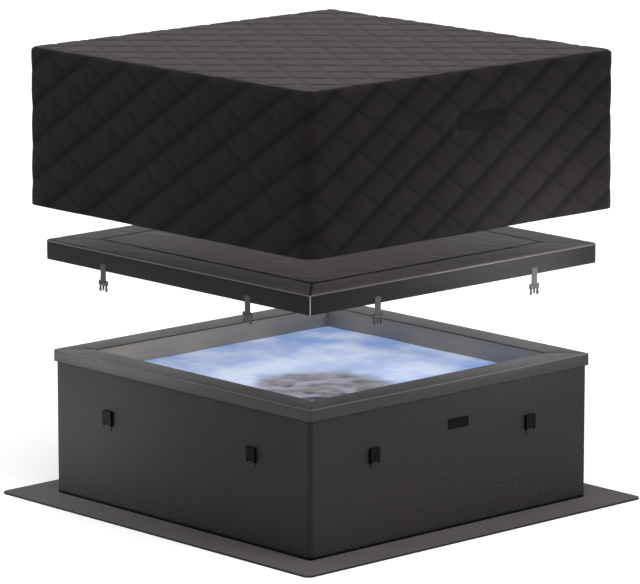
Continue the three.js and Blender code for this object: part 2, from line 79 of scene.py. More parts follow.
def direction(turn, rise):
    """The unit vector from the tub towards a viewer at this turn and rise."""
    level = math.cos(rise)
    return Vector((level * math.sin(turn), -level * math.cos(turn), math.sin(rise)))


def add_object(name, data):
    """Put a new object with this data into the scene."""
    thing = bpy.data.objects.new(name, data)
    bpy.context.scene.collection.objects.link(thing)
    return thing


sideways = Vector((math.cos(CAMERA_TURN), math.sin(CAMERA_TURN), 0))
aim = Vector((0, 0, AIM_HEIGHT)) + sideways * AIM_SHIFT
towards = direction(CAMERA_TURN, CAMERA_RISE)
camera_data = bpy.data.cameras.new("camera")
camera_data.lens = CAMERA_LENS
camera_data.sensor_width = 36
camera_data.clip_end = 200
camera = add_object("camera", camera_data)
camera.location = aim + towards * CAMERA_DISTANCE
camera.rotation_euler = (-towards).to_track_quat("-Z", "Y").to_euler()
bpy.context.scene.camera = camera
bpy.context.scene.view_settings.view_transform = "Standard"
print("camera at", tuple(round(c, 2) for c in camera.location))

# %% [markdown]
# ## A way to write finishes
#
# A finish is a network of nodes. Written one node at a time it is long and hard to read, so
# this cell makes sums of sockets possible: `0.5 + 0.2 * grain` adds the two Math nodes by
# itself. One method makes any other node.

# %% Values that can stand in sums
class Value:
    """A socket of a finish, which can stand in sums."""

    def __init__(self, finish, socket):
        self.finish = finish
        self.socket = socket

    def math(self, operation, *others):
        return self.finish.math(operation, self, *others)

    def __add__(self, other):
        return self.math("ADD", other)

    def __sub__(self, other):
        return self.math("SUBTRACT", other)

    def __rsub__(self, other):
        return self.finish.math("SUBTRACT", other, self)

    def __mul__(self, other):
        return self.math("MULTIPLY", other)

    def __truediv__(self, other):
        return self.math("DIVIDE", other)

    def step(self, low, high):
        """0 below low, 1 above high, and smooth between."""
        return self.finish.node("ShaderNodeMapRange", {"interpolation_type": "SMOOTHSTEP"},
                                {"Value": self, "From Min": low, "From Max": high})

    __radd__ = __add__
    __rmul__ = __mul__


print("a value can be added, taken away, multiplied, divided and stepped")

# %% A finish
class Finish:
    """A material with one Principled shader, for one material slot of the part's record."""

    def __init__(self, name, slot, color, roughness, **plain):
        self.slot = slot
        self.material = bpy.data.materials.new(name)
        self.material.use_nodes = True
        self.tree = self.material.node_tree
        self.shader = self.tree.nodes["Principled BSDF"]
        self.set("Base Color", color)
        self.set("Roughness", roughness)
        for socket, value in plain.items():
            self.set(socket.replace("_", " ").title().replace("Ior", "IOR"), value)

    def put(self, socket, value):
        if isinstance(value, Value):
            self.tree.links.new(value.socket, socket)
        else:
            socket.default_value = value

    def set(self, socket, value):
        if isinstance(value, tuple):
            value = (*value, 1)
        self.put(self.shader.inputs[socket], value)

    def node(self, kind, settings=None, inputs=None, output=0):
        node = self.tree.nodes.new(kind)
        for key, value in (settings or {}).items():
            setattr(node, key, value)
        for key, value in (inputs or {}).items():
            self.put(node.inputs[key], value)
        return Value(self, node.outputs[output])

    def math(self, operation, *values):
        return self.node("ShaderNodeMath", {"operation": operation}, dict(enumerate(values)))

    def place(self):
        return self.node("ShaderNodeTexCoord", output="Object")

    def sewn_place(self, name="cloth"):
        return self.node("ShaderNodeUVMap", {"uv_map": name})

    def parts(self, vector):
        split = self.node("ShaderNodeSeparateXYZ", {}, {0: vector}).socket.node
        return [Value(self, output) for output in split.outputs]

    def noise(self, vector, scale, detail=2.0, roughness=0.5):
        return self.node("ShaderNodeTexNoise", {}, {
            "Vector": vector, "Scale": scale, "Detail": detail, "Roughness": roughness})

    def threads(self, way, scale, distortion, detail=2.0):
        """Ribs across one way of the object, as threads make them."""
        return self.node("ShaderNodeTexWave", {"bands_direction": way}, {
            "Vector": self.place(), "Scale": scale, "Distortion": distortion, "Detail": detail})

    def blend(self, share, low, high):
        """A colour between two others."""
        colors = [c if isinstance(c, Value) else (*c, 1) for c in (low, high)]
        return self.node("ShaderNodeMix", {"data_type": "RGBA"},
                         {0: share, 6: colors[0], 7: colors[1]}, 2)

    def relief(self, height, distance, strength=1.0):
        """Bump the surface by a height from 0 to 1 times a distance in metres."""
        self.set("Normal", self.node("ShaderNodeBump", {}, {
            "Height": height, "Distance": distance, "Strength": strength}))


print("a finish can be written as sums")

# %% [markdown]
# ## Finishes of the soft goods
#
# Everything soft on this tub is a coated fabric. The walls are an embossed vinyl with a
# woven look, the rim and the lid a smooth leatherette with a fine pebble grain, and the cover
# a quilted cloth. Near-black goods live from their grain and their sheen, so each finish has
# its own relief and an uneven roughness.

# %% Embossed wall vinyl
WEAVE = 0.018
CORNER_STARTS = (0.892, 0.906)
FLAT_TONE = 0.35
# Height band of the painted shadow at the wall's foot, in metres.
FOOT_SHADOW_BAND = (0.004, 0.014)


def grey(level):
    """The linear colour of a screen grey from 0 to 255, with green held back, in darks most."""
    linear = (level / 255) ** 2.2
    held = 0.76 + 0.13 * min(level / 100, 1)
    return (linear, linear * held, linear)


def off_line(value):
    """How far a count is from the nearest whole number, from 0 to 0.5."""
    return ((value + 0.5).math("FRACT") - 0.5).math("ABSOLUTE")


def twill(across, up, pitch):
    """Two sets of crossing diagonal ribs."""
    waves = [(way * (math.pi / pitch)).math("SINE") for way in (across + up, across - up)]
    return [wave * wave for wave in waves]


wall_vinyl = Finish("wall_vinyl", "wall_vinyl", grey(44), 0.5, specular_ior_level=0.16)
across, up, _ = wall_vinyl.parts(wall_vinyl.sewn_place())
falling, rising = twill(across, up, WEAVE)
blotch = wall_vinyl.noise(wall_vinyl.sewn_place(), 3.0, 3)
pulled_flat = across.math("ABSOLUTE").step(*CORNER_STARTS)
woven = (falling * 0.9).math("MAXIMUM", rising * 0.75)
rib = woven - pulled_flat * (woven - FLAT_TONE)
# Painted shade: the vinyl is darkened in its lowest centimetre or so, as a shadow at the wall's
# foot.
foot_shadow_mask = up.step(*FOOT_SHADOW_BAND)
wall_vinyl.set("Base Color", wall_vinyl.blend(
    (rib * 0.85 + blotch * 0.15) * foot_shadow_mask, grey(5), grey(67)))
wall_vinyl.set("Roughness", 0.52 + 0.16 * blotch - 0.1 * rib)
wall_vinyl.relief(rib + 0.15 * blotch, 0.002)
print("wall vinyl pitch", WEAVE)

# %% [markdown]
# Leatherette is cloth with a soft plastic face. The face has a fine pebble grain, which cells
# of noise give, and it goes blotchy where hands and weather rub it. The rim, the lid, the
# piping and the liner are all kinds of it, so one function makes them all.

# %% Leatherette of the rim, the lid and the liner
def leatherette(name, slot, low, high, roughness, **plain):
    """Smooth coated cloth: a fine pebble grain, soft blotches and rubbed places."""
    finish = Finish(name, slot, low, roughness, **plain)
    place = finish.place()
    pebble = finish.node("ShaderNodeTexVoronoi", {"feature": "SMOOTH_F1"},
                         {"Vector": place, "Scale": 420.0, "Smoothness": 0.6})
    blotch = finish.noise(place, 2.6, 4, 0.55)
    streak = finish.noise(place, 14.0, 3, 0.6)
    finish.set("Base Color", finish.blend(blotch * 0.7 + streak * 0.3, low, high))
    finish.set("Roughness", roughness + 0.22 * (blotch - 0.5) + 0.1 * pebble)
    finish.relief(pebble + 0.8 * streak, 0.0006, 0.6)
    return finish


rim_leatherette = leatherette("rim_leatherette", "rim_leatherette", grey(35), grey(62), 0.4,
                              specular_ior_level=0.32)
# Painted shade: the lid's skirt is the same leatherette as its top, given darker colours.
lid_leatherette = leatherette("lid_leatherette", "lid_leatherette", grey(30), grey(45), 0.4,
                              specular_ior_level=0.1)
liner_vinyl = leatherette("liner_vinyl", "liner", (0.4, 0.35, 0.28), (0.55, 0.48, 0.38), 0.4,
                          specular_ior_level=0.2)
# Painted highlight: the piping is given paler colours than the skirt, for the light line along
# the lid's edge.
piping_highlight_vinyl = leatherette("piping_highlight_vinyl", "lid_leatherette", grey(84), grey(108), 0.3,
                           coat_weight=0.4)
# Painted highlight: the corner cords are the same piping, given much paler colours for the bright
# line down each corner.
corner_highlight_vinyl = leatherette("corner_highlight_vinyl", "lid_leatherette", grey(150), grey(180), 0.3,
                           coat_weight=0.4)
print("leatherettes are ready")

# %% [markdown]
# Quilted cloth is given painted shade in the valleys beside its seams, and a dark stitch line.
# The panels will carry a map that counts the cells of the quilting, so a whole number in the map
# is a seam, and the finish can draw the stitch and paint the shade exactly there.

# %% Quilted cloth and its lining
def quilted(name, faint, **sheen):
    """Quilted cloth: painted shade in valleys at the deep seams, and fainter shade at the others.
    """
    finish = Finish(name, "quilt", grey(30), 0.6, specular_ior_level=0.06, **sheen)
    across, up, _ = finish.parts(finish.sewn_place("cells"))
    deep_gap, faint_gap = off_line(across), off_line(up)
    # Painted shade: the valley beside each deep seam is darkened.
    valley = 1 - deep_gap.step(0.0, 0.24)
    stitch = 1 - deep_gap.step(0.0, 0.022)
    # Painted shade at the faint seams, as strong as the second argument asks.
    fold = faint - faint * faint_gap.step(0.0, 0.08)
    seam_shade_and_stitch = (0.55 * valley + 0.45 * stitch).math("MAXIMUM", fold)
    threads = finish.threads("DIAGONAL", 260.0, 1.5, 1.0)
    cloud = finish.noise(finish.place(), 5.0, 4, 0.6)
    cloth = finish.blend(cloud, grey(30), grey(46))
    finish.set("Base Color", finish.blend(seam_shade_and_stitch, cloth, grey(3)))
    finish.set("Roughness", 0.5 + 0.2 * cloud)
    finish.relief(0.25 * threads + 0.4 * cloud - 1.2 * seam_shade_and_stitch, 0.0012, 0.8)
    return finish


quilt_cloth = quilted("quilt_cloth", 0.4)
top_cloth = quilted("top_cloth", 0.8, sheen_weight=0.1, sheen_tint=(1.0, 0.85, 1.0))
lining = Finish("grey_lining", "quilt", grey(120), 0.85, sheen_weight=0.1)
lining.set("Base Color", lining.blend(lining.noise(lining.place(), 6.0, 3), grey(100), grey(132)))
lining.relief(lining.threads("X", 180.0, 2.0), 0.0004, 0.5)
print("quilted cloth and lining are ready")

# %% [markdown]
# Webbing is woven tape with ribs across it, and a wave of noise makes the ribs. The mat is a
# felted sheet that was sold folded, so faint creases cross it in squares. The foam in the
# walls and the floor is hidden, and only has its open cells for whoever takes the tub apart.

# %% Webbing, mat and foam
FOLD = 0.372


def woven_tape(name, low, high, sheen):
    """Webbing, with its ribs one above the other."""
    finish = Finish(name, "webbing", low, 0.8, sheen_weight=sheen)
    rib = finish.threads("Z", 95.0, 0.6)
    finish.set("Base Color", finish.blend(rib, low, high))
    finish.relief(rib, 0.0006, 0.9)
    return finish


webbing = woven_tape("webbing", grey(62), grey(104), 0.15)
black_webbing = woven_tape("black_webbing", grey(16), grey(34), 0.1)

mat_felt = Finish("mat_felt", "mat", grey(84), 0.95, specular_ior_level=0.15, sheen_weight=0.1)
place = mat_felt.place()
fuzz = mat_felt.noise(place, 320.0, 4, 0.7)
cloud = mat_felt.noise(place, 3.5, 4, 0.6)
folds = [1 - off_line(way / FOLD + 0.02 * cloud).step(0.0, 0.02)
         for way in mat_felt.parts(place)[:2]]
fold = folds[0].math("MAXIMUM", folds[1])
mat_felt.set("Base Color", mat_felt.blend(
    fuzz * 0.55 + cloud * 0.35 + fold * 0.1, grey(58), grey(96)))
mat_felt.relief(fuzz + 0.8 * fold, 0.0012, 0.6)
# A dark finish for the mat's side faces near its edge, which gives the thin dark edge.
dark_mat_edge = leatherette("dark_mat_edge", "mat", grey(20), grey(34), 0.6, specular_ior_level=0.2)

foam = Finish("foam", "foam", grey(215), 0.95)
cells = foam.node("ShaderNodeTexVoronoi", {}, {"Vector": foam.place(), "Scale": 260.0})
foam.set("Base Color", foam.blend(cells, (0.5, 0.48, 0.42), (0.74, 0.72, 0.65)))
foam.relief(cells, 0.0008, 0.6)
print("webbing, mat and foam are ready")

# %% [markdown]
# ## Finishes of the hard pieces
#
# Buckles and fittings are moulded plastic. Moulded plastic is never quite even: it has a
# fine spark-eroded grain and small changes of gloss.

# %% Moulded plastics
def moulded(name, slot, low, high, roughness, grain=900.0, **plain):
    """Moulded plastic, with the grain of its mould."""
    finish = Finish(name, slot, low, roughness, **plain)
    place = finish.place()
    spark = finish.noise(place, grain, 3, 0.7)
    cloud = finish.noise(place, 18.0, 3)
    finish.set("Base Color", finish.blend(cloud, low, high))
    finish.set("Roughness", roughness + 0.16 * (cloud - 0.5) + 0.06 * spark)
    finish.relief(spark, 0.0002, 0.5)
    return finish


prong_plastic = moulded("prong_plastic", "prongs", grey(34), grey(54), 0.42)
socket_plastic = moulded("socket_plastic", "socket", grey(5), grey(12), 0.55,
                         specular_ior_level=0.08)
badge_plate = moulded("badge_plate", "badge", grey(4), grey(8), 0.4, specular_ior_level=0.06)
fitting_plastic = moulded("fitting_plastic", "fitting", grey(62), grey(80), 0.44)
filter_pleats = moulded("filter_pleats", "pleats", grey(205), grey(228), 0.9, grain=400.0)
print("plastics are ready")

# %% [markdown]
# ## Shaping helpers
#
# Each piece starts as a primitive or as a merged copy of its CAD solid. It is shaped in edit
# mode and with modifiers, which are applied, so that what is left is a plain mesh at its
# place. A finished piece rides on a body of the mechanism, and stands for its CAD node.

# %% Select, edit and settle a piece
NEAR = 0.001


def close_edit():
    bpy.ops.object.mode_set(mode="OBJECT")


def only(piece):
    """Leave edit mode, and select this piece and nothing else."""
    if bpy.context.object and bpy.context.object.mode == "EDIT":
        close_edit()
    bpy.ops.object.select_all(action="DESELECT")
    piece.select_set(True)
    bpy.context.view_layer.objects.active = piece


def edit_all(piece):
    """Open a piece in edit mode with all of it selected."""
    only(piece)
    bpy.ops.object.mode_set(mode="EDIT")
    bpy.ops.mesh.select_all(action="SELECT")


def select_where(piece, kind, test):
    """Open a piece in edit mode with the faces or edges that pass a test selected."""
    only(piece)
    bpy.ops.object.mode_set(mode="EDIT")
    bpy.ops.mesh.select_mode(type=kind)
    bpy.ops.mesh.select_all(action="DESELECT")
    close_edit()
    for part in piece.data.polygons if kind == "FACE" else piece.data.edges:
        part.select = test(part)
    bpy.ops.object.mode_set(mode="EDIT")


def edges_along(piece, axis):
    """A test for the edges that run along an axis."""
    def test(edge):
        a, b = [piece.data.vertices[number].co for number in edge.vertices]
        return abs(a[axis] - b[axis]) > NEAR
    return test


def apply(piece, kind, **settings):
    """Add a modifier and apply it."""
    modifier = piece.modifiers.new(kind.title(), kind)
    for key, value in settings.items():
        setattr(modifier, key, value)
    only(piece)
    bpy.ops.object.modifier_apply(modifier=modifier.name)


def settle(piece, name, body, finishes, stands_for=()):
    """Name a piece, give it its finishes and its body, and hide what it stands for."""
    piece.name = name
    piece.data.name = name
    piece.data.materials.clear()
    for finish in finishes:
        piece.data.materials.append(finish.material)
    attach(piece, body)
    if stands_for:
        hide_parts(*stands_for)


print("pieces can be edited and settled")

# %% [markdown]
# A block or a grid is only a start: it gets its size here, and its shape where it is used. A
# copy of a CAD solid comes as loose triangles, so its doubles are merged and its flats made
# whole before its edges are broken. Broken edges catch the light as moulded and cut ones do.
# Large flat faces stay flat shaded, or false shadows would slide across them.

# %% Blocks, grids and copies of CAD solids
SHARP = math.radians(28)
LARGE_FACE = 0.004


def new_block(size, middle):
    """A block of this size about this middle."""
    bpy.ops.object.select_all(action="DESELECT")
    bpy.ops.mesh.primitive_cube_add(size=1, location=(0, 0, 0))
    block = bpy.context.object
    edit_all(block)
    bpy.ops.transform.resize(value=size)
    bpy.ops.transform.translate(value=middle)
    close_edit()
    return block


def new_grid(across, up, size=1):
    """A flat grid of this many cells about the middle."""
    bpy.ops.object.select_all(action="DESELECT")
    bpy.ops.mesh.primitive_grid_add(x_subdivisions=across, y_subdivisions=up, size=size)
    return bpy.context.object


def smooth(piece, angle=35):
    only(piece)
    bpy.ops.object.shade_smooth_by_angle(angle=math.radians(angle))


def shade_soft(piece):
    """Smooth shading all over, with no sharp edge."""
    piece.data.polygons.foreach_set("use_smooth", [True] * len(piece.data.polygons))


def merged_copy(node):
    """A copy of a CAD solid with its loose triangles merged and its flats whole."""
    piece = add_object(node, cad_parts[node].data.copy())
    edit_all(piece)
    bpy.ops.mesh.remove_doubles(threshold=0.00002)
    bpy.ops.mesh.dissolve_limited(angle_limit=math.radians(1.0))
    close_edit()
    return piece


def rounded_copy(node, width, segments=2):
    """A CAD solid with its sharp edges broken, as a mould leaves them."""
    piece = merged_copy(node)
    apply(piece, "BEVEL", width=width, segments=segments, limit_method="ANGLE", angle_limit=SHARP,
          use_clamp_overlap=True)
    smooth(piece)
    for face in piece.data.polygons:
        if face.area > LARGE_FACE:
            face.use_smooth = False
    return piece


print("edges of more than", round(math.degrees(SHARP)), "degrees are broken")

# %% [markdown]
# The tub is the same from all four sides, so a panel is made once, for the front, and its
# copies are turned about the tub's middle. Where cloth goes round an edge, its points are
# carried round an arc, and what stood out from the cloth still stands square to it.

# %% Turned copies and rounded edges
SIDES = ("front", "right", "rear", "left")
QUARTER = math.pi / 2


def turn(piece, turns):
    """Carry a front piece round to another side."""
    piece.data.transform(Matrix.Rotation(turns * QUARTER, 4, "Z"))


def reshape(piece, move):
    """Move every point by a rule."""
    for vertex in piece.data.vertices:
        vertex.co = move(vertex.co)
    piece.data.update()


def roll(along, out, start, radius):
    """Carry a point past start round a rounded edge. Returns its new place and depth."""
    if along <= start:
        return along, out
    angle = (along - start) / radius
    reach = radius + out
    return start + reach * math.sin(angle), reach * math.cos(angle) - radius


def face_front(piece):
    """Turn a front panel's faces so that they point away from the tub."""
    middle = len(piece.data.polygons) // 2
    if piece.data.polygons[middle].normal.y > 0:
        piece.data.flip_normals()


print("pieces can be turned to the", ", ".join(SIDES))

# %% [markdown]
# ## Cloth that puffs
#
# Padded cloth swells between its stitches. The cloth simulation makes that swelling: the
# stitched points are pinned, a light pressure blows the cloth out, and it stretches a little
# as it goes, which leaves soft wrinkles. How far a point may go is capped afterwards.

# %% Cloth between stitches
def pin(panel, chosen):
    group = panel.vertex_groups.new(name="stitched")
    group.add(sorted(chosen), 1.0, "REPLACE")


def puff(panel, pressure, most, slack=0.012, frames=20, bending=1.5):
    """Blow a flat panel out between its pinned stitches, by no more than a cap."""
    start = [vertex.co.copy() for vertex in panel.data.vertices]
    cloth = panel.modifiers.new("Cloth", "CLOTH")
    settings = cloth.settings
    settings.quality = 4
    settings.mass = 0.3
    settings.tension_stiffness = 12
    settings.compression_stiffness = 12
    settings.bending_stiffness = bending
    settings.use_pressure = True
    settings.uniform_pressure_force = pressure
    settings.shrink_min = -slack
    settings.vertex_group_mass = "stitched"
    settings.effector_weights.gravity = 0
    cloth.collision_settings.use_collision = False
    cloth.point_cache.frame_start = 1
    cloth.point_cache.frame_end = frames
    only(panel)
    for number in range(1, frames + 1):
        bpy.context.scene.frame_set(number)
    bpy.ops.object.modifier_apply(modifier="Cloth")
    furthest = 0.0
    for vertex, before in zip(panel.data.vertices, start):
        way = vertex.co - before
        furthest = max(furthest, way.length)
        if way.length > 1e-6:
            vertex.co = before + way * (most * math.tanh(way.length / most) / way.length)
    print(panel.name, "went", round(furthest * 1000, 1), "mm before the cap")


print("cloth can puff")

# %% [markdown]
# A flat panel is cut to its outline with bisect, which also cuts it across where it will bend.
# Without those cuts, the large cells would stay flat and the bend would show corners. The
# panel keeps a map in metres of where each point was while it lay flat, for its weave.

# %% Cut and mark a flat panel
def cut(panel, point, normal, clear=False):
    """Cut a panel along a line, and throw away what lies beyond if asked to."""
    edit_all(panel)
    bpy.ops.mesh.bisect(plane_co=point, plane_no=normal, clear_outer=clear)
    close_edit()


def trim(panel, half_width, half_height):
    for sign in (-1, 1):
        cut(panel, (sign * half_width, 0, 0), (sign, 0, 0), clear=True)
        cut(panel, (0, sign * half_height, 0), (0, sign, 0), clear=True)


def fold_lines(panel, axis, start, end, count):
    """Cut a panel across at even steps on both sides of its middle, so that it can bend."""
    normal = [0, 0, 0]
    normal[axis] = 1
    for number in range(count):
        place = start + (end - start) * number / count
        for sign in (-1, 1):
            cut(panel, [sign * place * c for c in normal], normal)


def cloth_map(panel):
    """A second map in metres along the flat panel, for the weave."""
    layer = panel.data.uv_layers.new(name="cloth")
    for loop, mark in zip(panel.data.loops, layer.data):
        mark.uv = panel.data.vertices[loop.vertex_index].co.xy


print("panels can be cut and marked")

# %% [markdown]
# ## The quilted cover
#
# The cover is a box of quilted cloth: four side panels and a top, sewn at the edges. Its
# stitching runs in two diagonal families. The rising one is sewn deep and makes channels, and
# the falling one only dimples them. To have a row of points exactly on every seam, the panel
# starts as a square grid that is turned by an eighth and stretched, so that the grid's own
# lines are the seams. It is then cut to the panel's outline. A panel is a whole number of
# cells wide, so that the seams run on round the corner into the next one.

# %% A grid whose lines are the seams
NEAR_SEAM = 0.03
EIGHTH = math.pi / 4


def quilted_grid(cells, steps, before, after, lean=0.0):
    """A grid with whole cells between seams, stretched before and after an eighth of a turn.

    With a lean, the second family of seams isn't square to the first."""
    across, up = cells
    panel = new_grid(across * steps, up * steps)
    marks = panel.data.uv_layers.active
    marks.name = "cells"
    for mark in marks.data:
        mark.uv = (mark.uv.x * across, mark.uv.y * up)
    edit_all(panel)
    bpy.ops.transform.resize(value=(*before, 1), center_override=(0, 0, 0))
    bpy.ops.transform.rotate(value=EIGHTH, orient_axis="Z", center_override=(0, 0, 0))
    bpy.ops.transform.resize(value=(*after, 1), center_override=(0, 0, 0))
    close_edit()
    along = Vector((1, 1, 0)).normalized()
    square = Vector((-1, 1, 0)).normalized()
    reshape(panel, lambda point: point + along * (lean * point.dot(square)))
    return panel


def from_whole(number):
    return abs(number - round(number))


def cell_places(panel):
    """Each point's place among the cells, read from the panel's map."""
    places = {}
    for loop, mark in zip(panel.data.loops, panel.data.uv_layers["cells"].data):
        places[loop.vertex_index] = tuple(mark.uv)
    return places


def edge_points(panel, half_width, half_height):
    return {vertex.index for vertex in panel.data.vertices
            if abs(vertex.co.x) > half_width - NEAR or abs(vertex.co.y) > half_height - NEAR}


def stitched_points(panel, half_width, half_height, both):
    """The points on a deep seam, or on any seam, and those on the panel's edge."""
    sewn = {index for index, (u, v) in cell_places(panel).items()
            if from_whole(u) < NEAR_SEAM or (both and from_whole(v) < NEAR_SEAM)}
    return sewn | edge_points(panel, half_width, half_height)


print("a grid can be laid along the seams")

# %% Sizes of the cover
COVER_SPREAD = 0.004
COVER_HALF = highest("cover_top").x + COVER_SPREAD
COVER_TOP = highest("cover_top").z
COVER_HEM = lowest("cover_side_front").z
COVER_CORNER = (0.035, 0.06)
COVER_ROLL = 0.016
QUILT_CLOTH = 0.007
ROLL_START = COVER_TOP - COVER_ROLL - COVER_HEM
PANEL_WIDTH = 2 * (COVER_HALF - COVER_CORNER[0]) + COVER_CORNER[0] * QUARTER
PANEL_HEIGHT = ROLL_START + COVER_ROLL * QUARTER / 2
DIAMOND = (PANEL_WIDTH / 7, 0.185)
print("side panel", round(PANEL_WIDTH, 3), "by", round(PANEL_HEIGHT, 3))

# %% Blow up one side panel
CELLS = (14, 14)
diagonal = math.sqrt(2)
spare_half = PANEL_WIDTH / 2 + DIAMOND[0] / 2
side_panel = quilted_grid(CELLS, 12, (1, 1), [CELLS[0] * length / diagonal for length in DIAMOND])
trim(side_panel, spare_half, PANEL_HEIGHT / 2)
pin(side_panel, stitched_points(side_panel, spare_half, PANEL_HEIGHT / 2, both=False))
cloth_map(side_panel)
puff(side_panel, pressure=5.0, most=0.019)
apply(side_panel, "SMOOTH", factor=0.5, iterations=3)
trim(side_panel, PANEL_WIDTH / 2, PANEL_HEIGHT / 2)
corner_start = PANEL_WIDTH / 2 - COVER_CORNER[0] * QUARTER / 2
fold_lines(side_panel, 0, corner_start, PANEL_WIDTH / 2, 7)
fold_lines(side_panel, 1, ROLL_START - PANEL_HEIGHT / 2, PANEL_HEIGHT / 2, 3)
print("side panel points", len(side_panel.data.vertices))

# %% Press in the faint seams and calm the ends
SEAM_PRESS = 0.35
SEAM_WIDTH = 0.02
END_SHARE = 0.4
END_REACH = 0.09
AT_END = 0.0001


def press_seams(panel):
    """Press the faint seams into the swollen channels."""
    cell = math.hypot(*DIAMOND) / 2
    for index, (_, v) in cell_places(panel).items():
        valley = math.exp(-(from_whole(v) * cell / SEAM_WIDTH) ** 2)
        height = panel.data.vertices[index].co.z
        panel.data.vertices[index].co.z = height * (1 - SEAM_PRESS * valley)


def calm_ends(panel):
    """Lower the puffs towards the upright corners, and give both ends the same profile."""
    ends = {-1: [], 1: []}
    for vertex in panel.data.vertices:
        gap = PANEL_WIDTH / 2 - abs(vertex.co.x)
        vertex.co.z *= END_SHARE + (1 - END_SHARE) * min(gap / END_REACH, 1)
        if gap < AT_END:
            ends[math.copysign(1, vertex.co.x)].append(vertex)
    pairs = zip(*(sorted(end, key=lambda vertex: vertex.co.y) for end in ends.values()))
    for left, right in pairs:
        left.co.z = right.co.z = (left.co.z + right.co.z) / 2
    print("points at the ends:", [len(end) for end in ends.values()])


press_seams(side_panel)
calm_ends(side_panel)

# %% [markdown]
# The flat panel is then hung in its place. Every point of it has a width, a height and a
# depth. The width runs round the cover's upright corners, which are tighter at the top than
# at the hem, and the last of the height rolls over the top edge. The depth is kept square to
# the cloth all the way, so the puffs stay puffs where the cloth turns.

# %% Where the points of a side panel go
HEM_FLARE = 0.015
HEM_WAVE = 0.004
HEM_WAVES = 7.0
HEM_PHASE = 1.3
BADGE_REST = 0.0045


def plan_point(along, corner, half):
    """A place and an outward direction on half a side of a square with rounded corners."""
    start = half - corner
    whole = start + corner * QUARTER / 2
    along *= whole / (PANEL_WIDTH / 2)
    if along <= start:
        return Vector((along, -half, 0)), Vector((0, -1, 0))
    angle = (along - start) / corner
    out = Vector((math.sin(angle), -math.cos(angle), 0))
    return Vector((start, -start, 0)) + out * corner, out


BADGE_PRESS = 0.035
BADGE_MIDDLE = (lowest("cover_badge").yz + highest("cover_badge").yz) / 2
BADGE_REACH = (highest("cover_badge").yz - lowest("cover_badge").yz) / 2


def badge_press(x, z):
    """1 under the badge plate, 0 away from it."""
    gaps = [abs(c - m) - r for c, m, r in zip((x, z), BADGE_MIDDLE, BADGE_REACH)]
    return 1 - min(max(max(gaps) / BADGE_PRESS, 0), 1)


def hang_side(point, has_badge):
    height = point.y + PANEL_HEIGHT / 2
    drop = 1 - min(height / ROLL_START, 1)
    corner = COVER_CORNER[0] + (COVER_CORNER[1] - COVER_CORNER[0]) * drop
    base, out = plan_point(abs(point.x), corner, COVER_HALF)
    inside = 1 - (2 * point.x / PANEL_WIDTH) ** 4
    wave = HEM_WAVE * drop * math.sin(HEM_WAVES * point.x + HEM_PHASE) * inside
    flare = HEM_FLARE * drop ** 2 + wave
    angle = max(height - ROLL_START, 0) / COVER_ROLL
    place = base - out * COVER_ROLL * (1 - math.cos(angle))
    place.z = COVER_HEM + min(height, ROLL_START) + COVER_ROLL * math.sin(angle)
    depth = point.z + flare
    if has_badge:
        depth -= badge_press(point.x, place.z) * (depth + BADGE_REST)
    place += (out * math.cos(angle) + Vector((0, 0, math.sin(angle)))) * depth
    return Vector((math.copysign(place.x, point.x), place.y, place.z))


print("the badge plate is", [round(2 * reach, 3) for reach in BADGE_REACH])

# %% Hang the side panels
def line_quilt(panel):
    """Give a quilted panel its thickness, with the lining as its inner face."""
    apply(panel, "SOLIDIFY", thickness=QUILT_CLOTH, offset=-1, material_offset=1,
          material_offset_rim=0)


for turns, side in enumerate(SIDES):
    panel = add_object("side", side_panel.data.copy())
    reshape(panel, lambda point: hang_side(point, side == "right"))
    face_front(panel)
    turn(panel, turns)
    line_quilt(panel)
    settle(panel, f"quilted_{side}", "cover", [quilt_cloth, lining], [f"cover_side_{side}"])
    shade_soft(panel)
bpy.data.objects.remove(side_panel)
print("four quilted sides hang from the top")

# %% [markdown]
# The top is quilted in both families alike, in longer cells that lean. It lies flat, and its
# edge rolls down to meet the sides.

# %% The top panel, which rolls down to meet them
TOP_CELLS = (20, 18)
TOP_CELL = (0.2, 0.18)
TOP_LEAN = -0.28
TOP_HALF = COVER_HALF - COVER_ROLL + COVER_ROLL * QUARTER / 2
top_size = [count * length for count, length in zip(TOP_CELLS, TOP_CELL)]
top_panel = quilted_grid(TOP_CELLS, 10, top_size, (1, 1), TOP_LEAN)
trim(top_panel, TOP_HALF, TOP_HALF)
pin(top_panel, stitched_points(top_panel, TOP_HALF, TOP_HALF, both=True))
cloth_map(top_panel)
puff(top_panel, pressure=3.0, most=0.005)
for axis in (0, 1):
    fold_lines(top_panel, axis, COVER_HALF - COVER_CORNER[0], TOP_HALF, 1)
    fold_lines(top_panel, axis, COVER_HALF - COVER_ROLL, TOP_HALF, 3)


def spread_top(point):
    """From the flat square to the rounded top, rolled down at its edge."""
    corner = COVER_HALF - COVER_CORNER[0]
    past = Vector((abs(point.x) - corner, abs(point.y) - corner))
    base = Vector((min(abs(point.x), corner), min(abs(point.y), corner)))
    distance = max(past)
    if distance <= 0:
        return Vector((*point.xy, COVER_TOP + point.z))
    way = Vector([max(c, 0) for c in past]).normalized()
    flat = COVER_CORNER[0] - COVER_ROLL
    angle = max(distance - flat, 0) / COVER_ROLL
    reach = min(distance, flat) + (COVER_ROLL + point.z) * math.sin(angle)
    place = base + way * reach
    top = COVER_TOP - COVER_ROLL + (COVER_ROLL + point.z) * math.cos(angle)
    return Vector((math.copysign(place.x, point.x), math.copysign(place.y, point.y), top))


reshape(top_panel, spread_top)
line_quilt(top_panel)
settle(top_panel, "quilted_top", "cover", [top_cloth, lining], ["cover_top"])
shade_soft(top_panel)
print("top panel faces", len(top_panel.data.polygons))

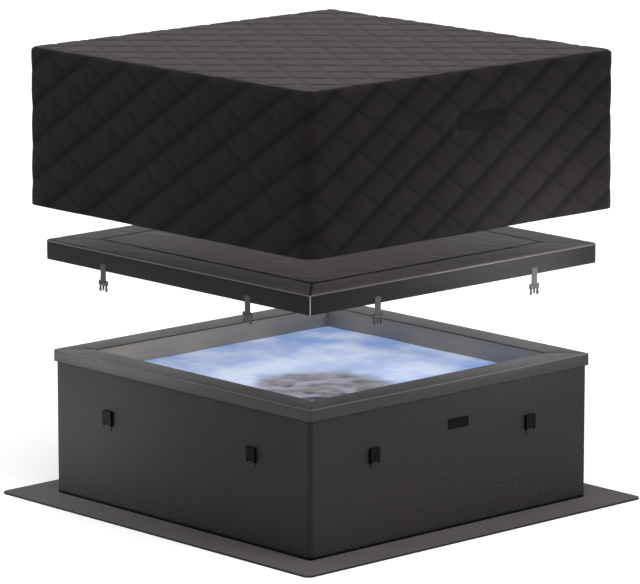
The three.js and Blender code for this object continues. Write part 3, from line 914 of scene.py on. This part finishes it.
# %% [markdown]
# ## The lid
#
# The lid is a foam slab in a leatherette jacket. Its top has a border that meets in mitres,
# sewn to a middle panel. The cloth is a little too large for the foam, so it lies in long
# low wrinkles. A skirt hangs down all round, with piping where it meets the top.

# %% Sizes of the lid
LID_HALF = highest("lid_top").x
LID_TOP = highest("lid_top").z
LID_HEM = lowest("lid_skirt").z
LID_ROLL = 0.008
LID_SINK = 0.004
LID_CLOTH = 0.003
LID_GRID = 150
LID_BORDER = 0.189
MITRE_NARROWING = 1.6
flat_half = LID_HALF - LID_ROLL + LID_ROLL * QUARTER
grid_step = 2 * flat_half / LID_GRID
seam_line = round((flat_half - LID_BORDER) / grid_step) * grid_step
print("the lid's border is", round(flat_half - seam_line, 3), "wide")

# %% Stitch and puff the lid's top
STITCH_REACH = 0.002


def on_lid_seam(point):
    """Whether a point is on the border's seam or on one of its mitres."""
    x, y = abs(point.x), abs(point.y)
    ring = abs(max(x, y) - seam_line) < STITCH_REACH
    mitre = abs(x - y) < STITCH_REACH and max(x, y) > seam_line
    return ring or mitre


def from_lid_seam(point):
    """How far a point is from the nearest seam. A mitre's line is narrower than the ring's."""
    x, y = abs(point.x), abs(point.y)
    past_ring = max(x, y) > seam_line - NEAR
    mitre = MITRE_NARROWING * abs(x - y) / diagonal if past_ring else 1
    return min(abs(max(x, y) - seam_line), mitre)


lid_pad = new_grid(LID_GRID, LID_GRID, 2 * flat_half)
lid_marks = lid_pad.data.uv_layers.active
lid_marks.name = "seam"
for loop, mark in zip(lid_pad.data.loops, lid_marks.data):
    mark.uv = (from_lid_seam(lid_pad.data.vertices[loop.vertex_index].co), 0)
sewn = {vertex.index for vertex in lid_pad.data.vertices if on_lid_seam(vertex.co)}
pin(lid_pad, sewn | edge_points(lid_pad, flat_half, flat_half))
cloth_map(lid_pad)
puff(lid_pad, pressure=1.0, most=0.0006, slack=0.01, bending=2.0)
for axis in (0, 1):
    fold_lines(lid_pad, axis, LID_HALF - LID_ROLL, flat_half, 4)
print("stitched points on the lid:", len(sewn))

# %% Lay the lid's top on the foam
SEAM_PULL = 0.0016
PULL_WIDTH = 0.006
LONG_WRINKLE = 0.0012
SHORT_WRINKLE = 0.0007
CALM_EDGE = 0.1


def lay_lid(point):
    """Lay the flat sheet on the foam, its seams pulled in and its edges rolled down."""
    edge = max(abs(point.x), abs(point.y))
    pull = SEAM_PULL * math.exp(-(min(abs(edge - seam_line), 1) / PULL_WIDTH) ** 2)
    lean = Vector((point.x * 3.2 + point.y * 1.4, point.y * 11 - point.x * 3, 4.2))
    wrinkle = LONG_WRINKLE * noise.noise(lean) + SHORT_WRINKLE * noise.noise(lean * 2.7)
    fade = min(max((flat_half - edge) / CALM_EDGE, 0), 1)
    out = point.z - pull + wrinkle * fade
    x, out_x = roll(abs(point.x), out, LID_HALF - LID_ROLL, LID_ROLL)
    y, out_y = roll(abs(point.y), out_x, LID_HALF - LID_ROLL, LID_ROLL)
    height = LID_TOP - LID_SINK + out_y
    return Vector((math.copysign(x, point.x), math.copysign(y, point.y), height))


reshape(lid_pad, lay_lid)
apply(lid_pad, "SOLIDIFY", thickness=LID_CLOTH, offset=-1)
# Painted light: the lid's top is the same leatherette as its skirt, given paler colours so that
# it looks lit under the cover.
lid_top_finish = leatherette("lid_top_leatherette", "lid_leatherette", grey(68), grey(92), 0.46,
                             specular_ior_level=0.15)
settle(lid_pad, "lid_cloth", "lid", [lid_top_finish], ["lid_top"])
shade_soft(lid_pad)
print("lid top faces", len(lid_pad.data.polygons))

# %% [markdown]
# The seam on the lid's top shows as a thin dark line. Its finish reads how far a point is
# from the nearest seam, which the sheet's own map holds in metres. The finest wrinkles are
# too small for the mesh, so the finish adds them as a relief that is stretched one way.

# %% Dark line of the lid's seam
LINE_FADE = (0.008, 0.014)
seam_away, _, _ = lid_top_finish.parts(lid_top_finish.sewn_place("seam"))
on_seam = 1 - seam_away.step(*LINE_FADE)
plain_color = lid_top_finish.shader.inputs["Base Color"].links[0].from_socket
lid_top_finish.set("Base Color", lid_top_finish.blend(
    on_seam, Value(lid_top_finish, plain_color), grey(8)))
lid_x, lid_y, _ = lid_top_finish.parts(lid_top_finish.place())
streaks = lid_top_finish.node("ShaderNodeCombineXYZ", {}, {
    0: 5 * lid_x + 2 * lid_y, 1: 22 * lid_y - 6 * lid_x})
wrinkle = lid_top_finish.noise(streaks, 1.0, 4, 0.6)
lid_top_finish.relief(wrinkle - 0.3 * on_seam, 0.008, 0.9)
print("the lid's seam and wrinkles are drawn")

# %% [markdown]
# The skirt is one band of cloth, sewn on all round. It is a block without its top and bottom,
# with its upright corners rounded. It hangs nearly straight, and waves a little at its hem.

# %% Skirt of the lid
SKIRT_CLOTH = 0.0028
SKIRT_CORNER = 0.008
SKIRT_SWELL = 0.0012
SKIRT_SHAKE = 0.0016
EDGE_HEIGHT = LID_TOP - LID_ROLL - LID_SINK
skirt_height = EDGE_HEIGHT - LID_HEM
skirt = new_block((2 * LID_HALF, 2 * LID_HALF, skirt_height), (0, 0, LID_HEM + skirt_height / 2))
select_where(skirt, "FACE", lambda face: abs(face.normal.z) > 0.5)
bpy.ops.mesh.delete(type="ONLY_FACE")
select_where(skirt, "EDGE", edges_along(skirt, 2))
bpy.ops.mesh.bevel(offset=SKIRT_CORNER, segments=4, affect="EDGES")
bpy.ops.mesh.select_all(action="SELECT")
bpy.ops.mesh.subdivide(number_cuts=7)
close_edit()


def ripple_skirt(point):
    """Let the skirt wave a little, more at its hem."""
    drop = (LID_TOP - point.z) / (LID_TOP - LID_HEM)
    swell = SKIRT_SWELL * math.sin(math.pi * min(max(drop, 0), 1))
    shake = SKIRT_SHAKE * drop * noise.noise(Vector((point.x * 6, point.y * 6, 1.7)))
    out = swell + shake
    face = LID_HALF - 2 * NEAR
    x = point.x + math.copysign(out, point.x) * (abs(point.x) > face)
    y = point.y + math.copysign(out, point.y) * (abs(point.y) > face)
    return Vector((x, y, point.z))


reshape(skirt, ripple_skirt)
apply(skirt, "SOLIDIFY", thickness=SKIRT_CLOTH, offset=-1)
smooth(skirt, 50)
settle(skirt, "lid_skirt_cloth", "lid", [lid_leatherette], ["lid_skirt"])
print("skirt height", round(skirt_height, 3))

# %% [markdown]
# Piping is a cord in a strip of vinyl, sewn into the edge. A curve with a round bevel makes
# it, and becomes a mesh. The piping is given paler colours than the skirt, as a painted
# highlight along the lid's edge. A paler cord runs down each upright corner of the skirt, its
# paleness a painted highlight too.

# %% Cords and the lines they follow
def tube(name, points, radius, closed=False):
    """A round cord through points, as a mesh."""
    curve = bpy.data.curves.new(name, "CURVE")
    curve.dimensions = "3D"
    curve.bevel_depth = radius
    curve.bevel_resolution = 3
    curve.use_fill_caps = not closed
    spline = curve.splines.new("POLY")
    spline.points.add(len(points) - 1)
    for slot, point in zip(spline.points, points):
        slot.co = (*point, 1)
    spline.use_cyclic_u = closed
    only(add_object(name, curve))
    bpy.ops.object.convert(target="MESH")
    shade_soft(bpy.context.object)
    return bpy.context.object


def square_ring(half, corner, height, steps=6):
    """Points round a square with rounded corners."""
    points = []
    for quarter in range(4):
        middle = Vector((half - corner, half - corner))
        for step in range(steps + 1):
            angle = QUARTER * step / steps
            flat = middle + corner * Vector((math.cos(angle), math.sin(angle)))
            flat.rotate(Matrix.Rotation(quarter * QUARTER, 2))
            points.append(Vector((*flat, height)))
    return points


print("a ring has", len(square_ring(1, 0.1, 0)), "points")

# %% Piping round the lid
PIPING = 0.0028
PIPING_OUT = 0.001
PIPING_CORNER = 0.009
CORD_IN = 0.0025
CORD_FOOT = 0.001
ring_line = square_ring(LID_HALF + PIPING_OUT, PIPING_CORNER, EDGE_HEIGHT)
ring_piping = tube("lid_piping", ring_line, PIPING, True)
settle(ring_piping, "lid_piping", "lid", [piping_highlight_vinyl])
corner_reach = LID_HALF - CORD_IN
for number, (sx, sy) in enumerate(((1, -1), (1, 1), (-1, 1), (-1, -1))):
    foot = (sx * corner_reach, sy * corner_reach, LID_HEM + CORD_FOOT)
    head = (sx * corner_reach, sy * corner_reach, EDGE_HEIGHT)
    corner_piping = tube("corner_piping", [foot, head], PIPING)
    settle(corner_piping, f"corner_piping_{number + 1}", "lid", [corner_highlight_vinyl])
print("piping radius", PIPING)

# %% [markdown]
# Under the top cloth lies the foam slab, whose underside shows in its grey jacket. Its top is
# lowered a little, so that no part of it comes through the cloth.

# %% Underside of the lid
FOAM_BELOW_TOP = 0.011
FOAM_ROUND = 0.006
core = rounded_copy("lid_core", FOAM_ROUND, 3)
reshape(core, lambda point: Vector((*point.xy, min(point.z, LID_TOP - FOAM_BELOW_TOP))))
settle(core, "lid_foam", "lid", [lining], ["lid_core"])
print("the foam slab has its grey jacket")

# %% [markdown]
# ## Straps and buckles
#
# Eight webbing straps are sewn to the lid's skirt. Each carries the prong half of a
# side-release buckle. The other halves, the sockets, are sewn to the tub's walls. The CAD
# solids already have the buckles' working shapes, so they only need broken edges. Where a
# strap is sewn on, a patch of the same webbing lies flat on the skirt.

# %% Straps, prongs and sockets
STRAP_ROUND = 0.0006
PRONG_ROUND = 0.0011
SOCKET_ROUND = 0.0012
for side in SIDES:
    for number in (1, 2):
        label = f"{side}_{number}"
        settle(rounded_copy(f"strap_{label}", STRAP_ROUND), f"webbing_{label}",
               f"strap_{label}", [webbing], [f"strap_{label}"])
        settle(rounded_copy(f"buckle_prongs_{label}", PRONG_ROUND), f"prongs_{label}",
               f"prongs_{label}", [prong_plastic], [f"buckle_prongs_{label}"])
        settle(rounded_copy(f"buckle_socket_{label}", SOCKET_ROUND), f"socket_{label}", "tub",
               [socket_plastic], [f"buckle_socket_{label}"])
print("eight buckles are ready")

# %% Sewn patches on the skirt
PATCH_HEIGHT = 0.033
PATCH_THICKNESS = 0.0026
PATCH_OUT = 0.0018
PATCH_DROP = 0.001
PATCH_ROUND = 0.0008
strap_from, strap_to = lowest("strap_front_1").x, highest("strap_front_1").x
patch_width = strap_to - strap_from
patch_middle = (strap_to + strap_from) / 2
patch_level = LID_HEM + PATCH_HEIGHT / 2 - PATCH_DROP
for turns, side in enumerate(SIDES):
    for number, middle in ((1, patch_middle), (2, -patch_middle)):
        patch = new_block((patch_width, PATCH_THICKNESS, PATCH_HEIGHT),
                          (middle, -LID_HALF - PATCH_OUT, patch_level))
        edit_all(patch)
        bpy.ops.mesh.subdivide(number_cuts=6)
        close_edit()
        apply(patch, "BEVEL", width=PATCH_ROUND, segments=2, limit_method="ANGLE")
        turn(patch, turns)
        smooth(patch)
        settle(patch, f"strap_patch_{side}_{number}", "lid", [webbing])
print("patch height", PATCH_HEIGHT)

# %% [markdown]
# ## The tub
#
# Four foam walls stand in one sewn skin of embossed vinyl. The skin is pulled tight, so its
# panels swell only a little, and it turns the corners in a small round. A padded cap sits on
# each wall, mitred at the corners.

# %% One wall panel, still flat
RIM_SPREAD = 0.0006
RIM_OVERHANG = 0.0078
WALL_TUCK = 0.012
RIM_HALF = highest("rim_cap_front").x + RIM_SPREAD
WALL_HALF = RIM_HALF - RIM_OVERHANG
WALL_FOOT = lowest("outer_skin").z
WALL_TOP = lowest("rim_cap_front").z + WALL_TUCK
WALL_CORNER = 0.016
WALL_SKIN = 0.0008
wall_width = 2 * (WALL_HALF - WALL_CORNER) + WALL_CORNER * QUARTER
wall_height = WALL_TOP - WALL_FOOT

wall = new_grid(92, 34)
edit_all(wall)
bpy.ops.transform.resize(value=(wall_width, wall_height, 1), center_override=(0, 0, 0))
close_edit()
cloth_map(wall)
for mark in wall.data.uv_layers["cloth"].data:
    mark.uv = (mark.uv.x, mark.uv.y + wall_height / 2)
pin(wall, edge_points(wall, wall_width / 2, wall_height / 2))
puff(wall, pressure=0.6, most=0.0018, slack=0.002, bending=3.0)
fold_lines(wall, 0, WALL_HALF - WALL_CORNER, wall_width / 2, 7)
print("wall", round(wall_width, 3), "by", round(wall_height, 3))

# %% Stand the walls up
def stand_wall(point):
    """From the flat panel to the front wall, with its ends bent round the corners."""
    height = point.y + wall_height / 2
    along, out = roll(abs(point.x), abs(point.z), WALL_HALF - WALL_CORNER, WALL_CORNER)
    return Vector((math.copysign(along, point.x), -WALL_HALF - out, WALL_FOOT + height))


reshape(wall, stand_wall)
face_front(wall)
apply(wall, "SOLIDIFY", thickness=WALL_SKIN, offset=-1)
shade_soft(wall)
for turns, side in enumerate(SIDES):
    panel = add_object("wall", wall.data.copy())
    turn(panel, turns)
    settle(panel, f"wall_skin_{side}", "tub", [wall_vinyl], ["outer_skin"])
bpy.data.objects.remove(wall)
print("four walls stand at", round(WALL_HALF, 3))

# %% [markdown]
# The sockets hang on webbing tabs, which the CAD model joins to the skin. A copy of that solid
# loses every face that isn't a tab's, and the holes that are left are filled.

# %% Webbing tabs that carry the sockets
WELL_ABOVE_TABS = 0.55
TAB_STEP = 0.0002
skin_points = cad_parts["outer_skin"].data.vertices
skin_flat = max(vertex.co.x for vertex in skin_points if vertex.co.z > WELL_ABOVE_TABS)


def behind_tabs(face):
    return max(abs(face.center.x), abs(face.center.y)) < skin_flat + TAB_STEP


tabs = merged_copy("outer_skin")
select_where(tabs, "FACE", behind_tabs)
bpy.ops.mesh.delete(type="FACE")
bpy.ops.mesh.select_all(action="SELECT")
bpy.ops.mesh.fill_holes(sides=0)
bpy.ops.mesh.normals_make_consistent(inside=False)
close_edit()
smooth(tabs)
settle(tabs, "socket_tabs", "tub", [black_webbing])
print("socket tabs' points:", len(tabs.data.vertices))

# %% [markdown]
# A rim cap is foam in leatherette: its top is crowned and its cloth wanders. A long face has
# no points between its ends, so it is cut across every few centimetres before it is moved.
# The cap's inner flap is the same leatherette, but it is given the paler liner finish as painted
# light against the shade inside the tub. A bead of vinyl, which is a closed tube, runs along the
# outer edge, and its pale colour is a painted highlight along that edge.

# %% Rim caps
RIM_TOP = highest("rim_cap_front").z
RIM_WIDTH = 0.15
RIM_CUT = 0.04
RIM_CROWN = 0.0016
RIM_WANDER = 0.0007
RIM_SINK = 0.0008
RIM_SHOULDER = 0.01
RIM_ROUND = 0.003
FLAP_IN = 0.1485


def pad_rim(point):
    """Crown the cap's top a little and let its cloth wander."""
    across = max(abs(point.x), abs(point.y))
    share = min(max((RIM_HALF - across) / RIM_WIDTH, 0), 1)
    crown = RIM_CROWN * (math.sin(math.pi * share) - 1) * (point.z > RIM_TOP - RIM_SHOULDER)
    wander = RIM_WANDER * noise.noise(point * 5)
    return point + Vector((0, 0, crown + wander - RIM_SINK))


for turns, side in enumerate(SIDES):
    cap = rounded_copy(f"rim_cap_{side}", RIM_ROUND)
    along = Vector((1, 0, 0)) if turns % 2 == 0 else Vector((0, 1, 0))
    for step in range(-22, 23):
        cut(cap, along * (step * RIM_CUT), along)
    reshape(cap, pad_rim)
    smooth(cap, 40)
    settle(cap, f"rim_{side}", "tub", [rim_leatherette, liner_vinyl], [f"rim_cap_{side}"])
    # Painted light: the flap's inner faces, which lie in the shade of the tub, get the paler
    # liner finish in place of the cap's leatherette.
    for face in cap.data.polygons:
        if max(abs(face.center.x), abs(face.center.y)) < RIM_HALF - FLAP_IN:
            face.material_index = 1
print("four rim caps at", round(RIM_TOP, 3))

# %% Bead along the rim's outer edge
BEAD = 0.0022
BEAD_IN = 0.0012
BEAD_DROP = 0.0042
BEAD_CORNER = 0.003
bead_line = square_ring(RIM_HALF - BEAD_IN, BEAD_CORNER, RIM_TOP - BEAD_DROP, 3)
rim_bead = tube("rim_bead", bead_line, BEAD, True)
# Painted highlight: the bead is given pale colours for the light line along the rim's outer edge.
bead_highlight_vinyl = leatherette("bead_highlight_vinyl", "rim_leatherette", grey(84), grey(110), 0.3,
                         coat_weight=0.3)
settle(rim_bead, "rim_bead", "tub", [bead_highlight_vinyl])
print("bead faces", len(rim_bead.data.polygons))

# %% Liner
LINER_ROUND = 0.002
liner = rounded_copy("inner_liner", LINER_ROUND)
settle(liner, "liner_skin", "tub", [liner_vinyl], ["inner_liner"])
print("liner faces", len(liner.data.polygons))

# %% [markdown]
# ## Water
#
# The tub is full to a little below the rim. Still water is a flat mirror, and this water
# moves a little, so its surface carries low ripples. Its colour is a painted reflection of a
# pale sky, which gives way to a darker zone towards the near corner, where one looks down
# into the tub.

# %% Water surface
WATER_BELOW_RIM = 0.105
WATER_INSET = 0.0045
LOW_RIPPLE = 0.0028
FINE_RIPPLE = 0.0008
NEAR_RIPPLE = 0.0035
NEAR_ZONE = 0.25
NEAR_SPREAD = 0.12
water = new_grid(140, 140, 2 * (highest("inner_liner").x - WATER_INSET))


def ripple(point):
    low = noise.noise(Vector((point.x * 4.0, point.y * 4.0, 0.3)))
    fine = noise.noise(Vector((point.x * 13.0, point.y * 13.0, 2.3)))
    near = math.exp(-((point.x - NEAR_ZONE) ** 2 + (point.y + NEAR_ZONE) ** 2) / NEAR_SPREAD)
    height = LOW_RIPPLE * low + (FINE_RIPPLE + NEAR_RIPPLE * near) * fine
    return Vector((point.x, point.y, RIM_TOP - WATER_BELOW_RIM + height))


reshape(water, ripple)
shade_soft(water)
print("water at", round(RIM_TOP - WATER_BELOW_RIM, 3))

# %% [markdown]
# The colour has three parts. Clouds of two blues, a painted reflection of the sky, lie over
# the whole surface. In the near zone the dark depth shows through, broken by crests that
# follow a swirling flow. Between the two runs a dark shore. The water also glows a little in
# the same colour, as painted light, though it is no lamp.

# %% Colour of the water
DARK_DEPTH = (0.022, 0.02, 0.04)
PALE_DEPTH = (0.2, 0.18, 0.27)
SHORE = (0.03, 0.03, 0.06)
# Painted reflection: the blues of the sky, painted into the water's colour.
DEEP_SKY_REFLECTION = (0.27, 0.43, 0.84)
PALE_SKY_REFLECTION = (0.66, 0.76, 1.0)
# Painted light: the water glows a little with its own colour, though it is no lamp.
wet = Finish("water", "liner", (0.4, 0.55, 0.9), 0.2, specular_ior_level=0.2,
             emission_strength=0.5)
wx, wy, _ = wet.parts(wet.place())
sky = wet.noise(wet.place(), 2.8, 3)
near_x, near_y = wx - NEAR_ZONE, wy + NEAR_ZONE
nearness = 1 - (near_x * near_x + near_y * near_y + 0.3 * sky).step(0.2, 0.32)
flow = wet.node("ShaderNodeCombineXYZ", {}, {
    0: 5 * wx + 5 * wy, 1: 5 * wx - 5 * wy, 2: 2 * sky})
swirl = wet.noise(flow, 1.0, 2, 0.45)
crest = 1 - off_line(5 * wet.noise(flow, 0.5, 1, 0.4)).step(0.03, 0.16)
shore = 1 - (nearness - 0.5).math("ABSOLUTE").step(0.15, 0.42)
depths = wet.blend((swirl - 0.15 * crest).step(0.38, 0.66), DARK_DEPTH, PALE_DEPTH)
depths = wet.blend(0.8 * shore, depths, SHORE)
# The painted sky reflection, giving way to the dark depths in the near zone; used as colour and
# as glow.
painted_reflection_and_glow = wet.blend(nearness, wet.blend(sky.step(0.32, 0.66), DEEP_SKY_REFLECTION, PALE_SKY_REFLECTION), depths)
wet.set("Base Color", painted_reflection_and_glow)
wet.set("Emission Color", painted_reflection_and_glow)
wet.set("Roughness", 0.18 + 0.08 * sky)
settle(water, "water", "tub", [wet])
print("the water has its colour")

# %% [markdown]
# ## Ground mat
#
# The mat is a flat padded sheet under the tub, larger all round, with clipped corners and a
# thin dark edge. Insets press a line of stitching in along the edge.

# %% Mat
EDGE_WIDTH = 0.0075
MAT_CORNER = 0.035
MAT_ROUND = 0.0018
STITCH_LINE = ((0.006, 0.0), (0.004, -0.0016), (0.01, 0.0016))
MAT_HALF = highest("ground_mat").x
mat_height = highest("ground_mat").z
mat = new_block((2 * MAT_HALF, 2 * MAT_HALF, mat_height), (0, 0, mat_height / 2))
select_where(mat, "EDGE", edges_along(mat, 2))
bpy.ops.mesh.bevel(offset=MAT_CORNER, segments=5, affect="EDGES")
close_edit()
select_where(mat, "FACE", lambda face: face.normal.z > 0.9)
for width, depth in STITCH_LINE:
    bpy.ops.mesh.inset(thickness=width, depth=depth)
close_edit()
apply(mat, "BEVEL", width=MAT_ROUND, segments=2, limit_method="ANGLE",
      angle_limit=math.radians(50))
smooth(mat)
settle(mat, "mat_pad", "tub", [mat_felt, dark_mat_edge], ["ground_mat"])
# The side faces near the edge take the dark finish.
for face in mat.data.polygons:
    reach = max(abs(face.center.x), abs(face.center.y))
    if face.normal.z < 0.9 and reach > MAT_HALF - EDGE_WIDTH:
        face.material_index = 1
print("mat faces", len(mat.data.polygons))

# %% [markdown]
# ## Badges, fittings and filter
#
# The badge plates are bare: each is a thin block with rounded corners and a raised frame. The
# screw caps have a ribbed grip, made by sinking each facet of their rim. The fittings behind
# the tub, the filter and the bubble ring are moulded plastic with broken edges.

# %% Badge plates
BADGE_CORNER = 0.007
BADGE_FRAME = ((0.0005, 0.0), (0.0024, 0.0), (0.0006, -0.0007))
for node, name, body in (("tub_badge", "badge_on_tub", "tub"),
                         ("cover_badge", "badge_on_cover", "cover")):
    low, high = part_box(node)
    badge = new_block(high - low, (low + high) / 2)
    select_where(badge, "EDGE", edges_along(badge, 0))
    bpy.ops.mesh.bevel(offset=BADGE_CORNER, segments=6, affect="EDGES")
    close_edit()
    select_where(badge, "FACE", lambda face: face.normal.x > 0.9)
    for width, depth in BADGE_FRAME:
        bpy.ops.mesh.inset(thickness=width, depth=depth)
    close_edit()
    smooth(badge)
    settle(badge, name, body, [badge_plate], [node])
print("two bare badge plates")

# %% Fittings and screw caps
FITTING_ROUND = 0.001
GRIP_REACH = 0.93
RIB_GAP = 0.0011
RIB_DEPTH = 0.0012
RIB_ROUND = 0.0005


def ribbed_cap(node):
    """A screw cap, each facet of whose rim is sunk a little."""
    cap = merged_copy(node)
    middle = sum((Vector(corner) for corner in cap.bound_box), Vector()) / 8

    def from_axis(point):
        return Vector((point.x - middle.x, 0, point.z - middle.z))

    reach = max(from_axis(vertex.co).length for vertex in cap.data.vertices)

    def on_grip(face):
        out = from_axis(face.center)
        outer = out.length > GRIP_REACH * reach and face.normal.dot(out) > 0
        return outer and abs(face.normal.y) < 0.1

    select_where(cap, "FACE", on_grip)
    bpy.ops.mesh.inset(thickness=RIB_GAP, depth=-RIB_DEPTH, use_individual=True)
    close_edit()
    apply(cap, "BEVEL", width=RIB_ROUND, segments=2, limit_method="ANGLE", angle_limit=SHARP)
    smooth(cap)
    return cap


for port in ("inlet", "outlet", "air", "drain"):
    settle(rounded_copy(f"{port}_fitting", FITTING_ROUND), f"{port}_body", "tub",
           [fitting_plastic], [f"{port}_fitting"])
    settle(ribbed_cap(f"{port}_cap"), f"{port}_screw_cap", f"{port}_cap", [fitting_plastic],
           [f"{port}_cap"])
print("four fittings have their caps")

# %% Filter, bubble ring and hidden foam
for node, name, body, finish, width in (
        ("filter_cup", "cup", "filter_cup", fitting_plastic, 0.0008),
        ("filter_cartridge", "pleated_filter", "filter_cartridge", filter_pleats, 0.0006),
        ("bubble_ring", "bubble_duct", "tub", fitting_plastic, 0.0015),
        ("air_block", "air_duct", "tub", fitting_plastic, 0.0015)):
    settle(rounded_copy(node, width), name, body, [finish], [node])
hidden_foam = [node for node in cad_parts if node.startswith(("wall_foam", "floor_foam"))]
for node in hidden_foam:
    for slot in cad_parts[node].material_slots:
        slot.material = foam.material
print("hidden foam blocks:", len(hidden_foam))

# %% [markdown]
# ## Floor and light
#
# The floor is a plain white sheet that fills the view. A large soft light hangs overhead, and
# a weaker one comes from the right, so that the right-hand faces are lighter than the
# left-hand ones. A low lamp beside the front wall's far end makes that wall fade towards the
# near corner, and another lights the far right of the lid. The cover would leave the lid in
# deep shade, so a lamp inside the cover gives the lid's top the same plain level as the rest.
#
# The floor and the sky are white to the eye, and darker to the object, so that they don't
# flood it with light. A mirror and a view through glass count as the eye.

# %% What counts as the eye
def seen_directly(tree):
    """1 for what is seen, also in a mirror or through glass, and 0 for light on the object."""
    rays = tree.nodes.new("ShaderNodeLightPath")
    seen = rays.outputs["Is Camera Ray"]
    for ray in ("Is Glossy Ray", "Is Transmission Ray"):
        either = tree.nodes.new("ShaderNodeMath")
        either.operation = "MAXIMUM"
        tree.links.new(seen, either.inputs[0])
        tree.links.new(rays.outputs[ray], either.inputs[1])
        seen = either.outputs[0]
    return seen


print("mirrors and glass count as the eye")

# %% Floor
FLOOR_BOUNCE = 0.34
FLOOR_GLOW = 0.2
FLOOR_SIZE = 240
FLOOR_DROP = 0.0005
bpy.ops.object.select_all(action="DESELECT")
bpy.ops.mesh.primitive_plane_add(size=FLOOR_SIZE, location=(0, 0, -FLOOR_DROP))
floor = bpy.context.object
floor.name = "floor"
floor_paper = bpy.data.materials.new("floor_paper")
floor_paper.use_nodes = True
tree = floor_paper.node_tree
tree.nodes.clear()
dull, white = [tree.nodes.new("ShaderNodeBsdfDiffuse") for _ in range(2)]
dull.inputs["Color"].default_value = (FLOOR_BOUNCE, FLOOR_BOUNCE, FLOOR_BOUNCE, 1)
white.inputs["Color"].default_value = (1, 1, 1, 1)
glow = tree.nodes.new("ShaderNodeEmission")
glow.inputs["Strength"].default_value = FLOOR_GLOW
paper = tree.nodes.new("ShaderNodeAddShader")
mix = tree.nodes.new("ShaderNodeMixShader")
out = tree.nodes.new("ShaderNodeOutputMaterial")
tree.links.new(white.outputs[0], paper.inputs[0])
tree.links.new(glow.outputs[0], paper.inputs[1])
tree.links.new(seen_directly(tree), mix.inputs[0])
tree.links.new(dull.outputs[0], mix.inputs[1])
tree.links.new(paper.outputs[0], mix.inputs[2])
tree.links.new(mix.outputs[0], out.inputs["Surface"])
floor.data.materials.append(floor_paper)
print("floor is white")

# %% Lights
LAMP_ABOVE_HEM = 0.35


def hang_light(name, kind, energy, place, way, **settings):
    """A light at a place that shines one way."""
    light = bpy.data.lights.new(name, kind)
    light.energy = energy
    for key, value in settings.items():
        setattr(light, key, value)
    holder = add_object(name, light)
    holder.location = place
    holder.rotation_euler = way.to_track_quat("-Z", "Y").to_euler()


def sun(name, turn, rise, energy, spread):
    way = -direction(math.radians(turn), math.radians(rise))
    hang_light(name, "SUN", energy, (0, 0, 0), way, angle=math.radians(spread))


def lamp(name, place, aim, energy, spread, size=0.6):
    """A small soft lamp that only lights what it is aimed at."""
    hang_light(name, "AREA", energy, place, Vector(aim) - Vector(place), size=size,
               spread=math.radians(spread))


sun("overhead", turn=70, rise=76, energy=1.8, spread=60)
sun("from_the_right", turn=100, rise=32, energy=0.8, spread=22)
lamp("low_left", place=(-1.6, -2.2, 0.35), aim=(-0.85, -0.9, 0.4), energy=2.2, spread=60)
lamp("lid_right", place=(2.3, 1.4, 1.1), aim=(0.95, 0.5, 1.3), energy=3, spread=50)
lamp("under_cover", place=(0, 0, COVER_HEM + LAMP_ABOVE_HEM), aim=(0, 0, LID_TOP), energy=6.4,
     spread=80, size=1.7)
print("two suns and three lamps")

# %% Sky
SKY_ON_OBJECT = 0.42
world = bpy.data.worlds.new("studio")
bpy.context.scene.world = world
world.use_nodes = True
tree = world.node_tree
background = tree.nodes["Background"]
background.inputs["Color"].default_value = (1, 1, 1, 1)
level = tree.nodes.new("ShaderNodeMapRange")
level.inputs["To Min"].default_value = SKY_ON_OBJECT
level.inputs["To Max"].default_value = 1.0
tree.links.new(seen_directly(tree), level.inputs["Value"])
tree.links.new(level.outputs[0], background.inputs["Strength"])
print("the sky gives the object", SKY_ON_OBJECT, "of white")
